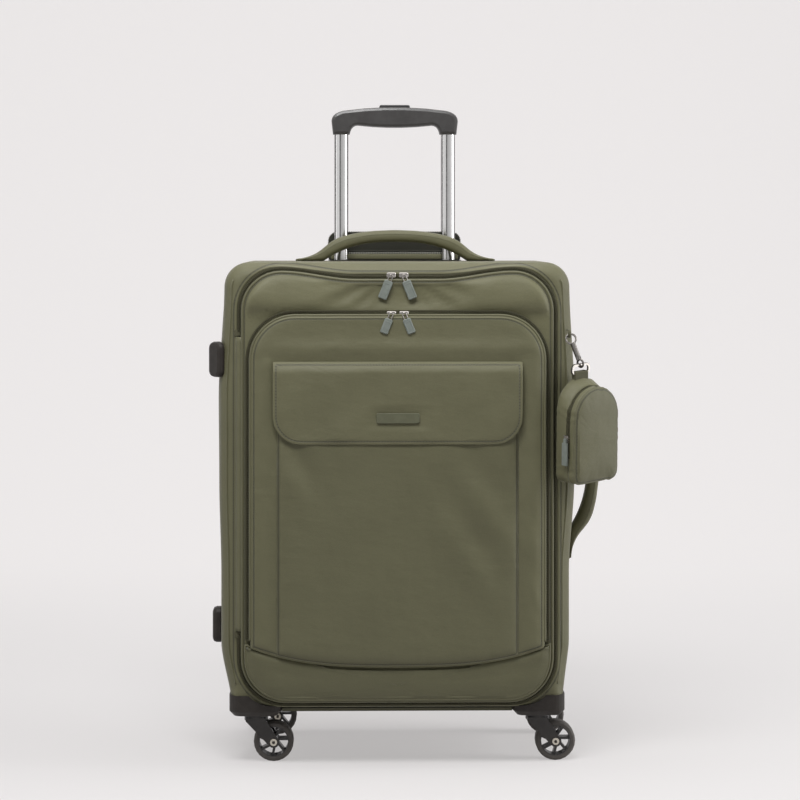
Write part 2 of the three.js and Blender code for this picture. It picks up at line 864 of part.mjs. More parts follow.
// The pocket's side gusset with one half of its zip; the seam at the bottom needs no zip.
function pocketGusset(yBack, yFront) {
  const outer = plate(pocketOutline(0), yBack, yFront);
  const inner = plate(pocketOutline(gussetWidth), yBack + throughCut, yFront - throughCut);
  const below = box(
    -lidHalfWidth,
    yFront - throughCut,
    0,
    lidHalfWidth,
    yBack + throughCut,
    smileEnd + gussetWidth,
  );
  return outer.subtract(inner).subtract(below);
}

function patchPocket() {
  const back = pocketFrontY - seatGap;
  const outer = plate(patchOutline(patchHalfWidth, patchTop, patchRise), back, patchFrontY);
  const room = plate(
    patchOutline(patchHalfWidth - patchSeam, patchTop + throughCut, patchRise + patchSeam),
    back + throughCut,
    patchFrontY + patchWall,
  );
  return outer.subtract(room);
}

function pocketFlap() {
  const root = box(
    -flapHalfWidth,
    flapBackY - 1,
    flapTop - flapRootHeight,
    flapHalfWidth,
    pocketFrontY - seatGap,
    flapTop,
  );
  return plate(flapOutline(), flapBackY, flapFrontY).add(root);
}

function labelPlate() {
  const outline = roundedRectangle(
    -labelWidth / 2,
    labelZ - labelHeight / 2,
    labelWidth / 2,
    labelZ + labelHeight / 2,
    2,
  );
  return plate(outline, flapFrontY - seatGap, flapFrontY - seatGap - labelThickness, 0.4, 1);
}

// Zip sliders. The main zip's sliders lie in front of it; the pocket's lie on top of its edge.
const mainSliderLow = lidTop - lidTopSag + mainSliderRise;
const mainSliderBackY = frontY - 1 - seatGap;
const mainPullTop = mainSliderLow + sliderHeight / 2;
const pocketSliderLow = pocketTop + seatGap;
const pocketSliderBackY = lidFrontY - seatGap;
const pocketPullTop = pocketSliderLow + sliderThickness / 2;

function mainSlider(side) {
  const x = (side * sliderSpacing) / 2;
  const outline = roundedRectangle(
    x - sliderLength / 2,
    mainSliderLow,
    x + sliderLength / 2,
    mainSliderLow + sliderHeight,
    1.5,
  );
  return plate(outline, mainSliderBackY, mainSliderBackY - sliderThickness, 0.8, 1);
}

function pocketSlider(side) {
  const x = (side * sliderSpacing) / 2;
  const outline = roundedRectangle(
    x - sliderLength / 2,
    pocketSliderLow,
    x + sliderLength / 2,
    pocketSliderLow + sliderThickness,
    1.5,
  );
  const frontOfSlider = pocketSliderBackY - pocketSpace - pocketThickness / 2;
  return plate(outline, pocketSliderBackY, frontOfSlider, 0.8, 1);
}

const mainSliderFrontY = mainSliderBackY - sliderThickness;
const pocketSliderFrontY = pocketSliderBackY - pocketSpace - pocketThickness / 2;

// A pull: a link in front of its slider and a tab that hangs down over the fabric behind it.
function pullTab(side, size, top, linkY, faceY) {
  const x = (side * sliderSpacing) / 2;
  const tabBackY = faceY - seatGap;
  const link = box(
    x - pullLink / 2,
    tabBackY - size.thickness,
    top - pullLinkHeight / 2,
    x + pullLink / 2,
    linkY - seatGap,
    top + pullLinkHeight / 2,
  );
  const outline = roundedRectangle(-size.width / 2, -size.length, size.width / 2, 0, 1.5);
  const tab = plate(outline, tabBackY, tabBackY - size.thickness, 0.6, 1).translate([0, 0, -pullNeck]);
  const neck = box(
    -pullLink / 2,
    tabBackY - size.thickness,
    -pullNeck - 2,
    pullLink / 2,
    tabBackY,
    0,
  );
  const hung = tab
    .add(neck)
    .rotate([0, (-side * pullSlant * 180) / Math.PI, 0])
    .translate([x, 0, top]);
  return link.add(hung);
}

// Casters: a fork that swivels in its housing, an axle and a wheel
function fork(x, y) {
  const hubTop = housingLow - seatGap;
  const hubLow = hubTop - forkHubHeight;
  let made = uprightCylinder(forkHubRadius, x, y, hubLow, hubTop, 20);
  const crown = roundedRectangle(
    x - crownHalf,
    y - forkHubRadius,
    x + crownHalf,
    y + forkHubRadius,
    5,
  );
  made = made.add(risingBlock(crown, hubLow, hubLow + 4, 2));
  made = made.add(uprightCylinder(stemRadius, x, y, hubTop - 1, housingLow + stemLength, 12));
  const arm = new THREE.Shape();
  arm.moveTo(-crownHalf, hubLow + 3);
  arm.lineTo(-crownHalf, hubLow);
  arm.lineTo(wheelTrail - armEnd, wheelZ - 3);
  arm.absarc(wheelTrail, wheelZ, armEnd, 1.1 * Math.PI, 2.1 * Math.PI);
  arm.lineTo(crownHalf, hubLow);
  arm.lineTo(crownHalf, hubLow + 3);
  const armIn = wheelWidth / 2 + runGap;
  for (const end of [-1, 1]) {
    const from = end > 0 ? armIn : -armIn - forkArm;
    const piece = plate(arm, from + forkArm, from);
    made = made.add(piece.translate([x, y, 0]));
  }
  const bore = crossCylinder(axleRadius + 0.2, x + wheelTrail, wheelZ, y - 30, y + 30);
  return made.subtract(bore);
}

function axle(x, y) {
  const reach = wheelWidth / 2 + runGap + forkArm + seatGap;
  const pin = crossCylinder(axleRadius, x + wheelTrail, wheelZ, y - reach - axleHead, y + reach + axleHead);
  let made = pin;
  for (const end of [-1, 1]) {
    const from = y + (end > 0 ? reach : -reach - axleHead);
    made = made.add(crossCylinder(axleHeadRadius, x + wheelTrail, wheelZ, from, from + axleHead));
  }
  return made;
}

// A ring that turns about the axle: its profile is drawn as radius and place along the axle.
function turnedRing(profile, sides) {
  const points = profile.map(([radius, along]) => new THREE.Vector2(radius, along));
  points.push(points[0].clone());
  return solid(new THREE.LatheGeometry(points, sides));
}

function wheel(x, y) {
  const half = wheelWidth / 2;
  const rimInner = wheelRadius - tyreThickness - rimThickness;
  const bore = axleRadius + runGap;
  const tread = turnedRing(
    [
      [rimInner, -half + rimSetback],
      [wheelRadius - tyreShoulder, -half + rimSetback],
      [wheelRadius, -half + rimSetback + tyreShoulder],
      [wheelRadius, half - rimSetback - tyreShoulder],
      [wheelRadius - tyreShoulder, half - rimSetback],
      [rimInner, half - rimSetback],
    ],
    24,
  );
  const hub = turnedRing(
    [
      [bore, -half],
      [wheelHubRadius, -half],
      [wheelHubRadius, half],
      [bore, half],
    ],
    12,
  );
  let made = tread.add(hub);
  for (let i = 0; i < spokeCount; i += 1) {
    const spoke = box(
      -1,
      -half + spokeSetback,
      -spokeWidth / 2,
      rimInner - wheelHubRadius + 2,
      half - spokeSetback,
      spokeWidth / 2,
    )
      .rotate([0, spokeLean, 0])
      .translate([wheelHubRadius - 1, 0, 0]);
    made = made.add(spoke.rotate([0, (360 * (i + 0.5)) / spokeCount, 0]));
  }
  return made.translate([x + wheelTrail, y, wheelZ]);
}

// Snap hook, built hanging from the origin along -Z; the gate closes its claw on the left
const gateGap = 0.45; // radians of the claw's ring that the gate fills
const gateMiddle = Math.PI;

function clawArc(from, to, wire) {
  const points = [];
  const steps = 10;
  for (let i = 0; i <= steps; i += 1) {
    const angle = from + ((to - from) * i) / steps;
    const x = clawRadius * Math.cos(angle);
    const z = -clawRadius + clawRadius * Math.sin(angle);
    points.push(new THREE.Vector3(x, 0, z));
  }
  const path = new THREE.CatmullRomCurve3(points);
  const section = new THREE.Shape();
  section.absarc(0, 0, wire, 0, 2 * Math.PI);
  const geometry = new THREE.ExtrudeGeometry(section, {
    steps,
    extrudePath: path,
    curveSegments: 3,
  });
  return solid(geometry);
}

const clawLow = -2 * clawRadius;
const hookBodyLow = clawLow - hookBodyLength;

function snapHook() {
  const claw = clawArc(gateMiddle + gateGap, gateMiddle - gateGap + 2 * Math.PI, wireRadius);
  const body = uprightCylinder(hookBodyRadius, 0, 0, hookBodyLow, clawLow + wireRadius / 2, 12);
  const bore = uprightCylinder(
    swivelPinRadius + runGap,
    0,
    0,
    hookBodyLow - throughCut,
    hookBodyLow + swivelPinLength + runGap,
    12,
  );
  return claw.add(body).subtract(bore);
}

function hookGate() {
  const trim = 0.13;
  return clawArc(gateMiddle - gateGap + trim, gateMiddle + gateGap - trim, wireRadius * 0.8);
}

const collarTop = hookBodyLow - seatGap;
const eyeZ = collarTop - collarHeight - eyeRadius;

function swivelEye() {
  const collar = uprightCylinder(hookBodyRadius, 0, 0, collarTop - collarHeight - 0.5, collarTop, 12);
  const pin = uprightCylinder(swivelPinRadius, 0, 0, collarTop - 1, hookBodyLow + swivelPinLength, 10);
  const eye = wireRing(eyeRadius, wireRadius, 0, 0).rotate([0, 0, 90]).translate([0, 0, eyeZ]);
  return collar.add(pin).add(eye);
}

// The ring and the pouch are drawn round the middle of the eye's lower wire.
const ringTop = 2 * wireRadius + 1.5 * seatGap;
const ringLow = ringTop - ringHeight;

function pouchRing() {
  const frame = (grow) =>
    roundedRectangle(
      -ringHalfWidth - grow,
      ringLow - grow,
      ringHalfWidth + grow,
      ringTop + grow,
      ringCorner + grow,
    );
  const outer = plate(frame(wireRadius), wireRadius, -wireRadius, 0.6, 2);
  return outer.subtract(plate(frame(-wireRadius), wireRadius + 1, -wireRadius - 1, 0, 2));
}

const pouchTop = ringLow - wireRadius - 3;
const pouchLow = pouchTop - pouchHeight;
const pouchBackY = (pouchBackDepth + pouchFrontDepth) / 2 - ringSetback;
const pouchSplitY = pouchBackY - pouchBackDepth;
const pouchFrontY = pouchBackY - pouchBackDepth - pouchFrontDepth;

function pouchOutline(inset = 0, drop = 0) {
  const half = pouchHalfWidth - inset;
  const low = pouchLow + inset;
  const corner = Math.max(pouchCorner - inset, 1);
  const archCentre = pouchTop - pouchHalfWidth - drop;
  const shape = new THREE.Shape();
  shape.moveTo(-half + corner, low);
  shape.lineTo(half - corner, low);
  shape.absarc(half - corner, low + corner, corner, -Math.PI / 2, 0);
  shape.lineTo(half, archCentre);
  shape.absarc(0, archCentre, half, 0, Math.PI);
  shape.lineTo(-half, low + corner);
  shape.absarc(-half + corner, low + corner, corner, Math.PI, 1.5 * Math.PI);
  return shape;
}

// The back half's gusset slopes down from the back's round top to the lower one at the zip.
function slopedPouch(inset, backY, frontY) {
  const back = plate(pouchOutline(inset), backY, backY - 2 * pouchEdge, pouchEdge, 6);
  const front = plate(pouchOutline(inset, pouchSlope), frontY + 1, frontY);
  return wasm.Manifold.hull([back, front]);
}

function pouchBack() {
  const outer = slopedPouch(0, pouchBackY, pouchSplitY);
  const room = slopedPouch(pouchWall, pouchBackY - pouchWall, pouchSplitY - throughCut);
  const tabTop = ringLow + wireRadius + tabFold;
  const tab = box(-tabHalfWidth, -tabDepth / 2, pouchTop - 4, tabHalfWidth, tabDepth / 2, tabTop);
  const slot = box(
    -tabHalfWidth - 1,
    -wireRadius - seatGap,
    ringLow - wireRadius - seatGap,
    tabHalfWidth + 1,
    wireRadius + seatGap,
    ringLow + wireRadius + seatGap,
  );
  return outer.add(tab).subtract(room).subtract(slot);
}

function pouchFront() {
  const rounded = plate(
    pouchOutline(0, pouchSlope),
    pouchSplitY + pouchEdge * 2,
    pouchFrontY,
    pouchEdge,
    6,
  );
  const reach = pouchHalfWidth + throughCut;
  const half = box(
    -reach,
    pouchFrontY - throughCut,
    pouchLow - throughCut,
    reach,
    pouchSplitY - seatGap,
    pouchTop + throughCut,
  );
  const room = plate(
    pouchOutline(pouchWall, pouchSlope),
    pouchSplitY + throughCut,
    pouchFrontY + pouchWall,
    0,
    6,
  );
  return rounded.intersect(half).subtract(room);
}

const pouchSliderZ = pouchTop - pouchHeight * pouchSliderShare;
const pouchSliderX = -pouchHalfWidth - seatGap;
const pouchPullX = pouchSliderX - pouchSliderThickness - seatGap;

function pouchSlider() {
  return box(
    pouchSliderX - pouchSliderThickness,
    pouchSplitY - 3,
    pouchSliderZ - pouchSliderLength / 2,
    pouchSliderX,
    pouchSplitY + 5,
    pouchSliderZ + pouchSliderLength / 2,
  );
}

// The pull hangs beside the slider: a short link and a long tab.
function pouchPull() {
  const linkLow = pouchSliderZ - 6;
  const link = box(
    pouchPullX - pouchPullThickness,
    pouchSplitY - 1,
    linkLow,
    pouchPullX,
    pouchSplitY + 3,
    pouchSliderZ + 0.6,
  );
  const tab = box(
    pouchPullX - pouchPullThickness,
    pouchSplitY + 1 - pouchPullWidth / 2,
    linkLow + 1 - pouchPullLength,
    pouchPullX - 0.2,
    pouchSplitY + 1 + pouchPullWidth / 2,
    linkLow + 1,
  );
  return link.add(tab);
}

// A webbing loop on the corner seam, with a hole along X that the claw passes through
function hookLoop() {
  const hole = wireRadius + seatGap;
  const high = hangZ + 6;
  const low = hangZ - hole - loopSlack;
  const front = hangY - hole - loopSlack;
  const back = hangY + 20;
  const x0 = hangX - loopWidth / 2;
  const x1 = hangX + loopWidth / 2;
  const block = box(x0, front - loopWall, low - loopWall, x1, back, high);
  const opening = box(x0 - 1, front, low, x1 + 1, hangY + hole, high - loopWall);
  return block.subtract(opening).subtract(caseGrown);
}

// The assembly
add("case_shell", caseShell(), "fabric");
add("lining_panel", liningPanel(), "lining");
add("base_plate", basePlate(), "plastic");
add("main_zip_case", mainZip(2 * seatGap + zipTape, 2 * seatGap + 2 * zipTape), "zip");
add("top_handle", carryHandle().translate([0, topHandleY, caseTop + seatGap]), "fabric");
add(
  "side_handle",
  carryHandle()
    .rotate([0, 90, 0])
    .translate([caseHalfWidth + seatGap, sideHandleY, sideHandleZ]),
  "fabric",
);
add("side_foot_lower", sideFoot(lowerFoot), "plastic");
add("side_foot_upper", sideFoot(upperFoot), "plastic");
add("hook_loop", hookLoop(), "fabric");
add("trolley_cup", trolleyCup(), "plastic");
add("trolley_flap", trolleyFlap(), "lining");

for (const [name, side] of [["left", -1], ["right", 1]]) {
  const x = side * tubeX;
  const outerTubeLow = caseLow + caseWall + seatGap;
  add("outer_tube_" + name, tube(outerTube, outerTubeLow, outerTubeTop, x), "chrome");
  add("middle_tube_" + name, tube(middleTube, middleTubeLow, middleTubeTop, x), "chrome");
  add("inner_tube_" + name, tube(innerTube, innerTube.low, socketTop, x), "chrome");
}
add("grip", grip(), "plastic");
add("release_button", releaseButton(), "plastic");
add("release_yoke", releaseYoke(), "plastic");

add("lid_panel", lidPanel(), "fabric");
add("main_zip_lid", mainZip(seatGap, seatGap + zipTape), "zip");
const gussetHalf = (pocketSpace - 3 * seatGap) / 2;
const gussetSplit = lidFrontY - seatGap - gussetHalf;
add("pocket_zip_lid", pocketGusset(lidFrontY - seatGap, gussetSplit), "zip");
add("pocket_zip_panel", pocketGusset(gussetSplit - seatGap, pocketBackY + seatGap), "zip");
add("pocket_panel", plate(pocketOutline(), pocketBackY, pocketFrontY, pocketEdge), "fabric");
add("patch_pocket", patchPocket(), "fabric");
add("pocket_flap", pocketFlap(), "fabric");
add("label_plate", labelPlate(), "tab");
for (const [name, side] of [["left", -1], ["right", 1]]) {
  add("main_slider_" + name, mainSlider(side), "chrome");
  add("main_pull_" + name, pullTab(side, mainPull, mainPullTop, mainSliderFrontY, lidFrontY), "tab");
  add("pocket_slider_" + name, pocketSlider(side), "chrome");
  add(
    "pocket_pull_" + name,
    pullTab(side, pocketPull, pocketPullTop, pocketSliderFrontY, pocketFrontY),
    "tab",
  );
}

for (const [endName, end] of [["front", -1], ["rear", 1]]) {
  for (const [sideName, side] of [["left", -1], ["right", 1]]) {
    const place = endName + "_" + sideName;
    const x = side * swivelX;
    const y = end * swivelY;
    add("caster_housing_" + place, casterHousing(side, end), "plastic");
    add("caster_fork_" + place, fork(x, y), "plastic");
    add("caster_axle_" + place, axle(x, y), "chrome");
    add("caster_wheel_" + place, wheel(x, y), "wheel");
  }
}

const hanging = new THREE.Group();
hanging.position.set(hangX, hangY, hangZ);
hanging.rotation.set(-hangPitch, -hangTilt, 0, "XYZ");
suitcase.add(hanging);
add("snap_hook", snapHook(), "chrome", hanging);
add("hook_gate", hookGate(), "chrome", hanging);
const eyeTurn = new THREE.Group();
eyeTurn.rotation.z = pouchYaw;
hanging.add(eyeTurn);
add("swivel_eye", swivelEye(), "chrome", eyeTurn);
suitcase.updateMatrixWorld(true);
const pouch = new THREE.Group();
pouch.rotation.set(pouchPitch, 0, pouchYaw, "XYZ");
const ringDrop = new THREE.Vector3(0, 0, -eyeRadius).applyEuler(pouch.rotation);
pouch.position.copy(hanging.localToWorld(new THREE.Vector3(0, 0, eyeZ))).add(ringDrop);
suitcase.add(pouch);
add("pouch_ring", pouchRing(), "chrome", pouch);
add("pouch_back", pouchBack(), "fabric", pouch);
add("pouch_front", pouchFront(), "fabric", pouch);
add("pouch_slider", pouchSlider(), "chrome", pouch);
add("pouch_pull", pouchPull(), "tab", pouch);

export default suitcase;
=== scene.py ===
# %% [markdown]
# # A softside upright suitcase
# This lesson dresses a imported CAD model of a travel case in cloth, chrome and moulded plastic. The
# CAD model gives every place and every moving body. Blender gives the soft forms and the finishes.
# Everything is in metres, +Z is up and the front of the case looks towards -Y.

# %% Load the frame
import math

import bpy
import numpy as np
from mathutils import Matrix, Vector


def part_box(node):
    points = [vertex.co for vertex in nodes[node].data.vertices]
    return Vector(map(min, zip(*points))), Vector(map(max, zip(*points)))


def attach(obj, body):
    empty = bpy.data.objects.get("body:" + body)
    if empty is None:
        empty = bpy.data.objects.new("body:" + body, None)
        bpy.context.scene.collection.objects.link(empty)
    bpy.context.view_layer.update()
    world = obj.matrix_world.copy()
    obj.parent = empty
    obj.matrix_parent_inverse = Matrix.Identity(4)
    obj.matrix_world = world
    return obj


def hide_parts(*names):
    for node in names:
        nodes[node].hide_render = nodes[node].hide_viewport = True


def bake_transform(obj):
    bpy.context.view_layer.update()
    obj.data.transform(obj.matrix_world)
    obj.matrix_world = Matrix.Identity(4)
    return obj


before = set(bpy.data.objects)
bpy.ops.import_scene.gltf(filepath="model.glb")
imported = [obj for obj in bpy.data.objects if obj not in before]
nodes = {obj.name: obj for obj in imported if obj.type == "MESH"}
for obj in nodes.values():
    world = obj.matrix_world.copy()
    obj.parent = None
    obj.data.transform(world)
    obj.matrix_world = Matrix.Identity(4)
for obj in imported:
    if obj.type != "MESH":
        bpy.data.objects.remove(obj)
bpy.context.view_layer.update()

# %% [markdown]
# ## Camera
# The case is seen from the front, from a little above its top and a hand's width to the left. A long
# lens keeps its edges upright. The lens is shifted down instead of tilted, as a product photographer
# does it, so the sides of the case stay parallel.

# %% Place the camera
camera_data = bpy.data.cameras.new("camera")
camera_data.sensor_width = 36
camera_data.lens = 112.5
camera_data.shift_y = -0.204
camera = bpy.data.objects.new("camera", camera_data)
bpy.context.scene.collection.objects.link(camera)
camera.location = (-0.057, -3.355, 0.615)
camera.rotation_euler = (math.radians(90), 0, math.radians(-1.07))
bpy.context.scene.camera = camera
print("camera at", tuple(round(v, 3) for v in camera.location))

# %% [markdown]
# ## Node helpers
# Each finish is built from shader nodes. These helpers add a node, join sockets and set values, so the
# cells for the finishes can stay short and name only what the cloth or the plastic really does.

# %% Shader helpers
def new_finish(name, colour, roughness):
    material = bpy.data.materials.new(name)
    material.use_nodes = True
    shader = material.node_tree.nodes["Principled BSDF"]
    shader.inputs["Base Color"].default_value = (*colour, 1)
    shader.inputs["Roughness"].default_value = roughness
    return material


def add_node(material, kind, **values):
    node = material.node_tree.nodes.new(kind)
    for key, value in values.items():
        setattr(node, key, value)
    return node


def join(material, output, socket):
    material.node_tree.links.new(output, socket)


def feed(material, socket, value):
    if isinstance(value, (int, float)):
        socket.default_value = value
    else:
        join(material, value, socket)


def calculate(material, operation, first, second=0.0, third=0.0):
    node = add_node(material, "ShaderNodeMath", operation=operation)
    for socket, value in zip(node.inputs, (first, second, third)):
        feed(material, socket, value)
    return node.outputs[0]


def blend_colours(material, share, first, second):
    node = add_node(material, "ShaderNodeMix", data_type="RGBA")
    feed(material, node.inputs["Factor"], share)
    for socket, value in ((node.inputs[6], first), (node.inputs[7], second)):
        if isinstance(value, tuple):
            socket.default_value = (*value, 1)
        else:
            join(material, value, socket)
    return node.outputs[2]


def cloud(material, size, detail=3.0, stretch=(1, 1, 1), turn=(0, 0, 0)):
    coords = add_node(material, "ShaderNodeTexCoord")
    mapping = add_node(material, "ShaderNodeMapping")
    mapping.inputs["Rotation"].default_value = turn
    mapping.inputs["Scale"].default_value = stretch
    noise = add_node(material, "ShaderNodeTexNoise")
    noise.inputs["Scale"].default_value = 1 / size
    noise.inputs["Detail"].default_value = detail
    join(material, coords.outputs["Object"], mapping.inputs["Vector"])
    join(material, mapping.outputs["Vector"], noise.inputs["Vector"])
    return noise.outputs["Fac"]


def step_down(material, value, start, end):
    node = add_node(material, "ShaderNodeMapRange", interpolation_type="SMOOTHSTEP")
    feed(material, node.inputs["Value"], value)
    node.inputs["From Min"].default_value = start
    node.inputs["From Max"].default_value = end
    node.inputs["To Min"].default_value = 1
    node.inputs["To Max"].default_value = 0
    return node.outputs["Result"]


def raise_surface(material, layers):
    normal = None
    for height, distance, strength in layers:
        bump = add_node(material, "ShaderNodeBump")
        bump.inputs["Distance"].default_value = distance
        bump.inputs["Strength"].default_value = strength
        join(material, height, bump.inputs["Height"])
        if normal is not None:
            join(material, normal, bump.inputs["Normal"])
        normal = bump.outputs["Normal"]
    shader = material.node_tree.nodes["Principled BSDF"]
    join(material, normal, shader.inputs["Normal"])


print("shader helpers ready")

# %% [markdown]
# ## The olive cloth
# The shell is a fine nylon twill with a foam back. Close up it has slanting ribs, further away it has
# soft rumples and slightly uneven dye. Seams carry rows of stitches that lie at a fixed distance from
# the edge, so the pieces keep that distance in their UV map: u runs along the edge and v away from it,
# both in metres. The stitches then follow every curve with no extra geometry. The groove of each row
# is darkened as painted shade, and a lighter band along the edge and on the walls is a painted
# highlight.

# %% Twill with stitches
OLIVE = (0.110, 0.106, 0.056)
THREAD = (0.150, 0.145, 0.095)
STITCH_PITCH = 0.0040


def stitch_mask(material, rows):
    uv = add_node(material, "ShaderNodeUVMap", uv_map="UVMap")
    parts = add_node(material, "ShaderNodeSeparateXYZ")
    join(material, uv.outputs["UV"], parts.inputs["Vector"])
    along = calculate(material, "DIVIDE", parts.outputs["X"], STITCH_PITCH)
    dash = calculate(material, "LESS_THAN", calculate(material, "FRACT", along), 0.66)
    total = None
    for row in rows:
        away = calculate(material, "SUBTRACT", parts.outputs["Y"], row)
        line = step_down(material, calculate(material, "ABSOLUTE", away), 0.0005, 0.0013)
        total = line if total is None else calculate(material, "MAXIMUM", total, line)
    return calculate(material, "MULTIPLY", total, dash), total, parts.outputs["Y"]


def twill(name, rows=(), tone=1.0, rumple=1.0, thread=0.15):
    # tone scales the olive; below it makes lit and shaded copies of one cloth
    colour = tuple(channel * tone for channel in OLIVE)
    material = new_finish(name, colour, 0.62)
    shader = material.node_tree.nodes["Principled BSDF"]
    shader.inputs["Sheen Weight"].default_value = 0.10
    shader.inputs["Sheen Roughness"].default_value = 0.40
    shader.inputs["Specular IOR Level"].default_value = 0.42
    dye = cloud(material, 0.11, 3)
    speck = cloud(material, 0.0016, 1)
    light = tuple(channel * 1.09 for channel in colour)
    dark = tuple(channel * 0.90 for channel in colour)
    mixed = blend_colours(material, dye, dark, light)
    fleck = step_down(material, speck, 0.40, 0.62)
    mixed = blend_colours(
        material, calculate(material, "MULTIPLY", fleck, 0.10), mixed, tuple(c * 1.5 for c in colour)
    )
    coords = add_node(material, "ShaderNodeTexCoord")
    ribs = add_node(material, "ShaderNodeTexWave", bands_direction="DIAGONAL")
    ribs.inputs["Scale"].default_value = 560
    ribs.inputs["Distortion"].default_value = 0.6
    join(material, coords.outputs["Object"], ribs.inputs["Vector"])
    folds = cloud(material, 0.055, 2, stretch=(1, 1, 0.55), turn=(0, 0.5, 0))
    creases = cloud(material, 0.022, 3, stretch=(0.6, 1, 1.3), turn=(0, -0.6, 0))
    layers = [
        (folds, 0.008, 0.50 * rumple),
        (creases, 0.003, 0.36 * rumple),
        (ribs.outputs["Fac"], 0.0001, 0.35),
    ]
    if rows:
        stitch, groove, away = stitch_mask(material, rows)
        # painted shade: the groove of each stitch row is darkened
        shade = tuple(c * 0.28 for c in colour)
        mixed = blend_colours(material, calculate(material, "MULTIPLY", groove, 0.80), mixed, shade)
        mixed = blend_colours(material, calculate(material, "MULTIPLY", stitch, thread), mixed, THREAD)
        # painted highlight: a lighter band along the rolled edge and on the walls
        painted_edge_highlight = calculate(material, "MULTIPLY", step_down(material, away, 0.0008, 0.0036), 0.22)
        mixed = blend_colours(material, painted_edge_highlight, mixed, tuple(c * 1.5 for c in colour))
        hollow = calculate(material, "SUBTRACT", 1.0, groove)
        layers += [(hollow, 0.0012, 0.55), (stitch, 0.0005, 0.5)]
    join(material, mixed, shader.inputs["Base Color"])
    rough = calculate(material, "MULTIPLY_ADD", dye, 0.12, 0.54)
    join(material, rough, shader.inputs["Roughness"])
    raise_surface(material, layers)
    return material


# Copies of the same olive twill: the lid's is lighter as painted light from above; the patch pocket's,
# much darker as painted shade.
# the kick panel's and the piping's are darker as painted shade, and the base's, under the case, is
cloth_plain = twill("cloth_plain")
cloth_edge = twill("cloth_edge_sewn", rows=(0.0045,))
cloth_flap = twill("cloth_flap_stitched", rows=(0.0040,), thread=0.5)
cloth_patch_painted_shade = twill("cloth_patch_sewn_painted_shade", rows=(0.0022,), tone=0.94)
cloth_lid_painted_lit = twill("cloth_lid_sewn_painted_lit", rows=(0.0045,), tone=1.14)
cloth_kick_painted_shade = twill("cloth_kick_painted_shade", tone=0.88)
cloth_piping_painted_shade = twill("cloth_piping_painted_shade", tone=0.94, rumple=0.3)
cloth_pouch = twill("cloth_pouch", rows=(0.003,), tone=0.95)
cloth_base_painted_shade = twill("cloth_base_painted_shade", tone=0.60, rumple=0.4)
print("cloth finishes:", cloth_plain.name, cloth_edge.name, cloth_patch_painted_shade.name)

# %% [markdown]
# ## Lining, tape and webbing
# The inside is a dark plain weave. Zip tape is a fine ribbon, darker than the shell, and webbing shows
# broad ribs. All three come from the same two wave patterns at different pitches.

# %% Woven finishes
def woven(name, colour, pitch, depth=0.0003, gloss=0.7, sheen=0.1):
    material = new_finish(name, colour, gloss)
    shader = material.node_tree.nodes["Principled BSDF"]
    shader.inputs["Sheen Weight"].default_value = sheen
    shader.inputs["Specular IOR Level"].default_value = 0.15
    coords = add_node(material, "ShaderNodeTexCoord")
    waves = []
    for direction in ("X", "Z"):
        wave = add_node(material, "ShaderNodeTexWave", bands_direction=direction)
        wave.inputs["Scale"].default_value = 0.314 / pitch
        wave.inputs["Distortion"].default_value = 0.4
        join(material, coords.outputs["Object"], wave.inputs["Vector"])
        waves.append(wave.outputs["Fac"])
    weave = calculate(material, "MULTIPLY", waves[0], waves[1])
    shade = cloud(material, 0.05)
    low = tuple(channel * 0.75 for channel in colour)
    mixed = blend_colours(material, weave, low, tuple(channel * 1.2 for channel in colour))
    mixed = blend_colours(material, calculate(material, "MULTIPLY", shade, 0.3), mixed, low)
    join(material, mixed, shader.inputs["Base Color"])
    raise_surface(material, [(weave, depth, 0.5), (shade, 0.002, 0.2)])
    return material


lining_cloth = woven("lining_cloth", (0.030, 0.029, 0.026), 0.0012)
zip_ribbon = woven("zip_ribbon", (0.058, 0.055, 0.032), 0.0009, sheen=0.0)
dark_ribbon = woven("dark_ribbon", (0.030, 0.030, 0.022), 0.0009)
webbing = woven("olive_webbing", (0.105, 0.100, 0.060), 0.0016, 0.0006)
coil_nylon = woven("coil_nylon", (0.085, 0.081, 0.048), 0.0008, 0.0002, 0.5, 0.0)
# painted light: pale teeth for the zip that lies in the shade behind the handle
painted_lit_coil = woven("painted_lit_coil", (0.420, 0.410, 0.360), 0.0008, 0.0002, 0.35, 0.0)
print("woven finishes ready")

# %% [markdown]
# ## Hard finishes
# The casters, feet, recess and grip are moulded in charcoal plastic with a fine spark-eroded texture,
# and edges that hands and floors have polished. The tubes and small hardware are plated steel with
# fine scratches along them. The tyres are dusty rubber.

# %% Plastic, plated steel and rubber
def moulded(name, colour, roughness, coat=0.0, shine=0.5):
    material = new_finish(name, colour, roughness)
    shader = material.node_tree.nodes["Principled BSDF"]
    shader.inputs["Coat Weight"].default_value = coat
    shader.inputs["Specular IOR Level"].default_value = shine
    grains = cloud(material, 0.0009, 1)
    smears = cloud(material, 0.03, 4)
    dust = cloud(material, 0.009, 4)
    pale = tuple(min(1, channel * 1.6 + 0.01) for channel in colour)
    share = calculate(material, "MULTIPLY", step_down(material, dust, 0.35, 0.6), 0.22)
    join(material, blend_colours(material, share, colour, pale), shader.inputs["Base Color"])
    rough = calculate(material, "MULTIPLY_ADD", smears, 0.25, roughness - 0.12)
    join(material, rough, shader.inputs["Roughness"])
    raise_surface(material, [(grains, 0.0002, 0.25), (smears, 0.0008, 0.08)])
    return material


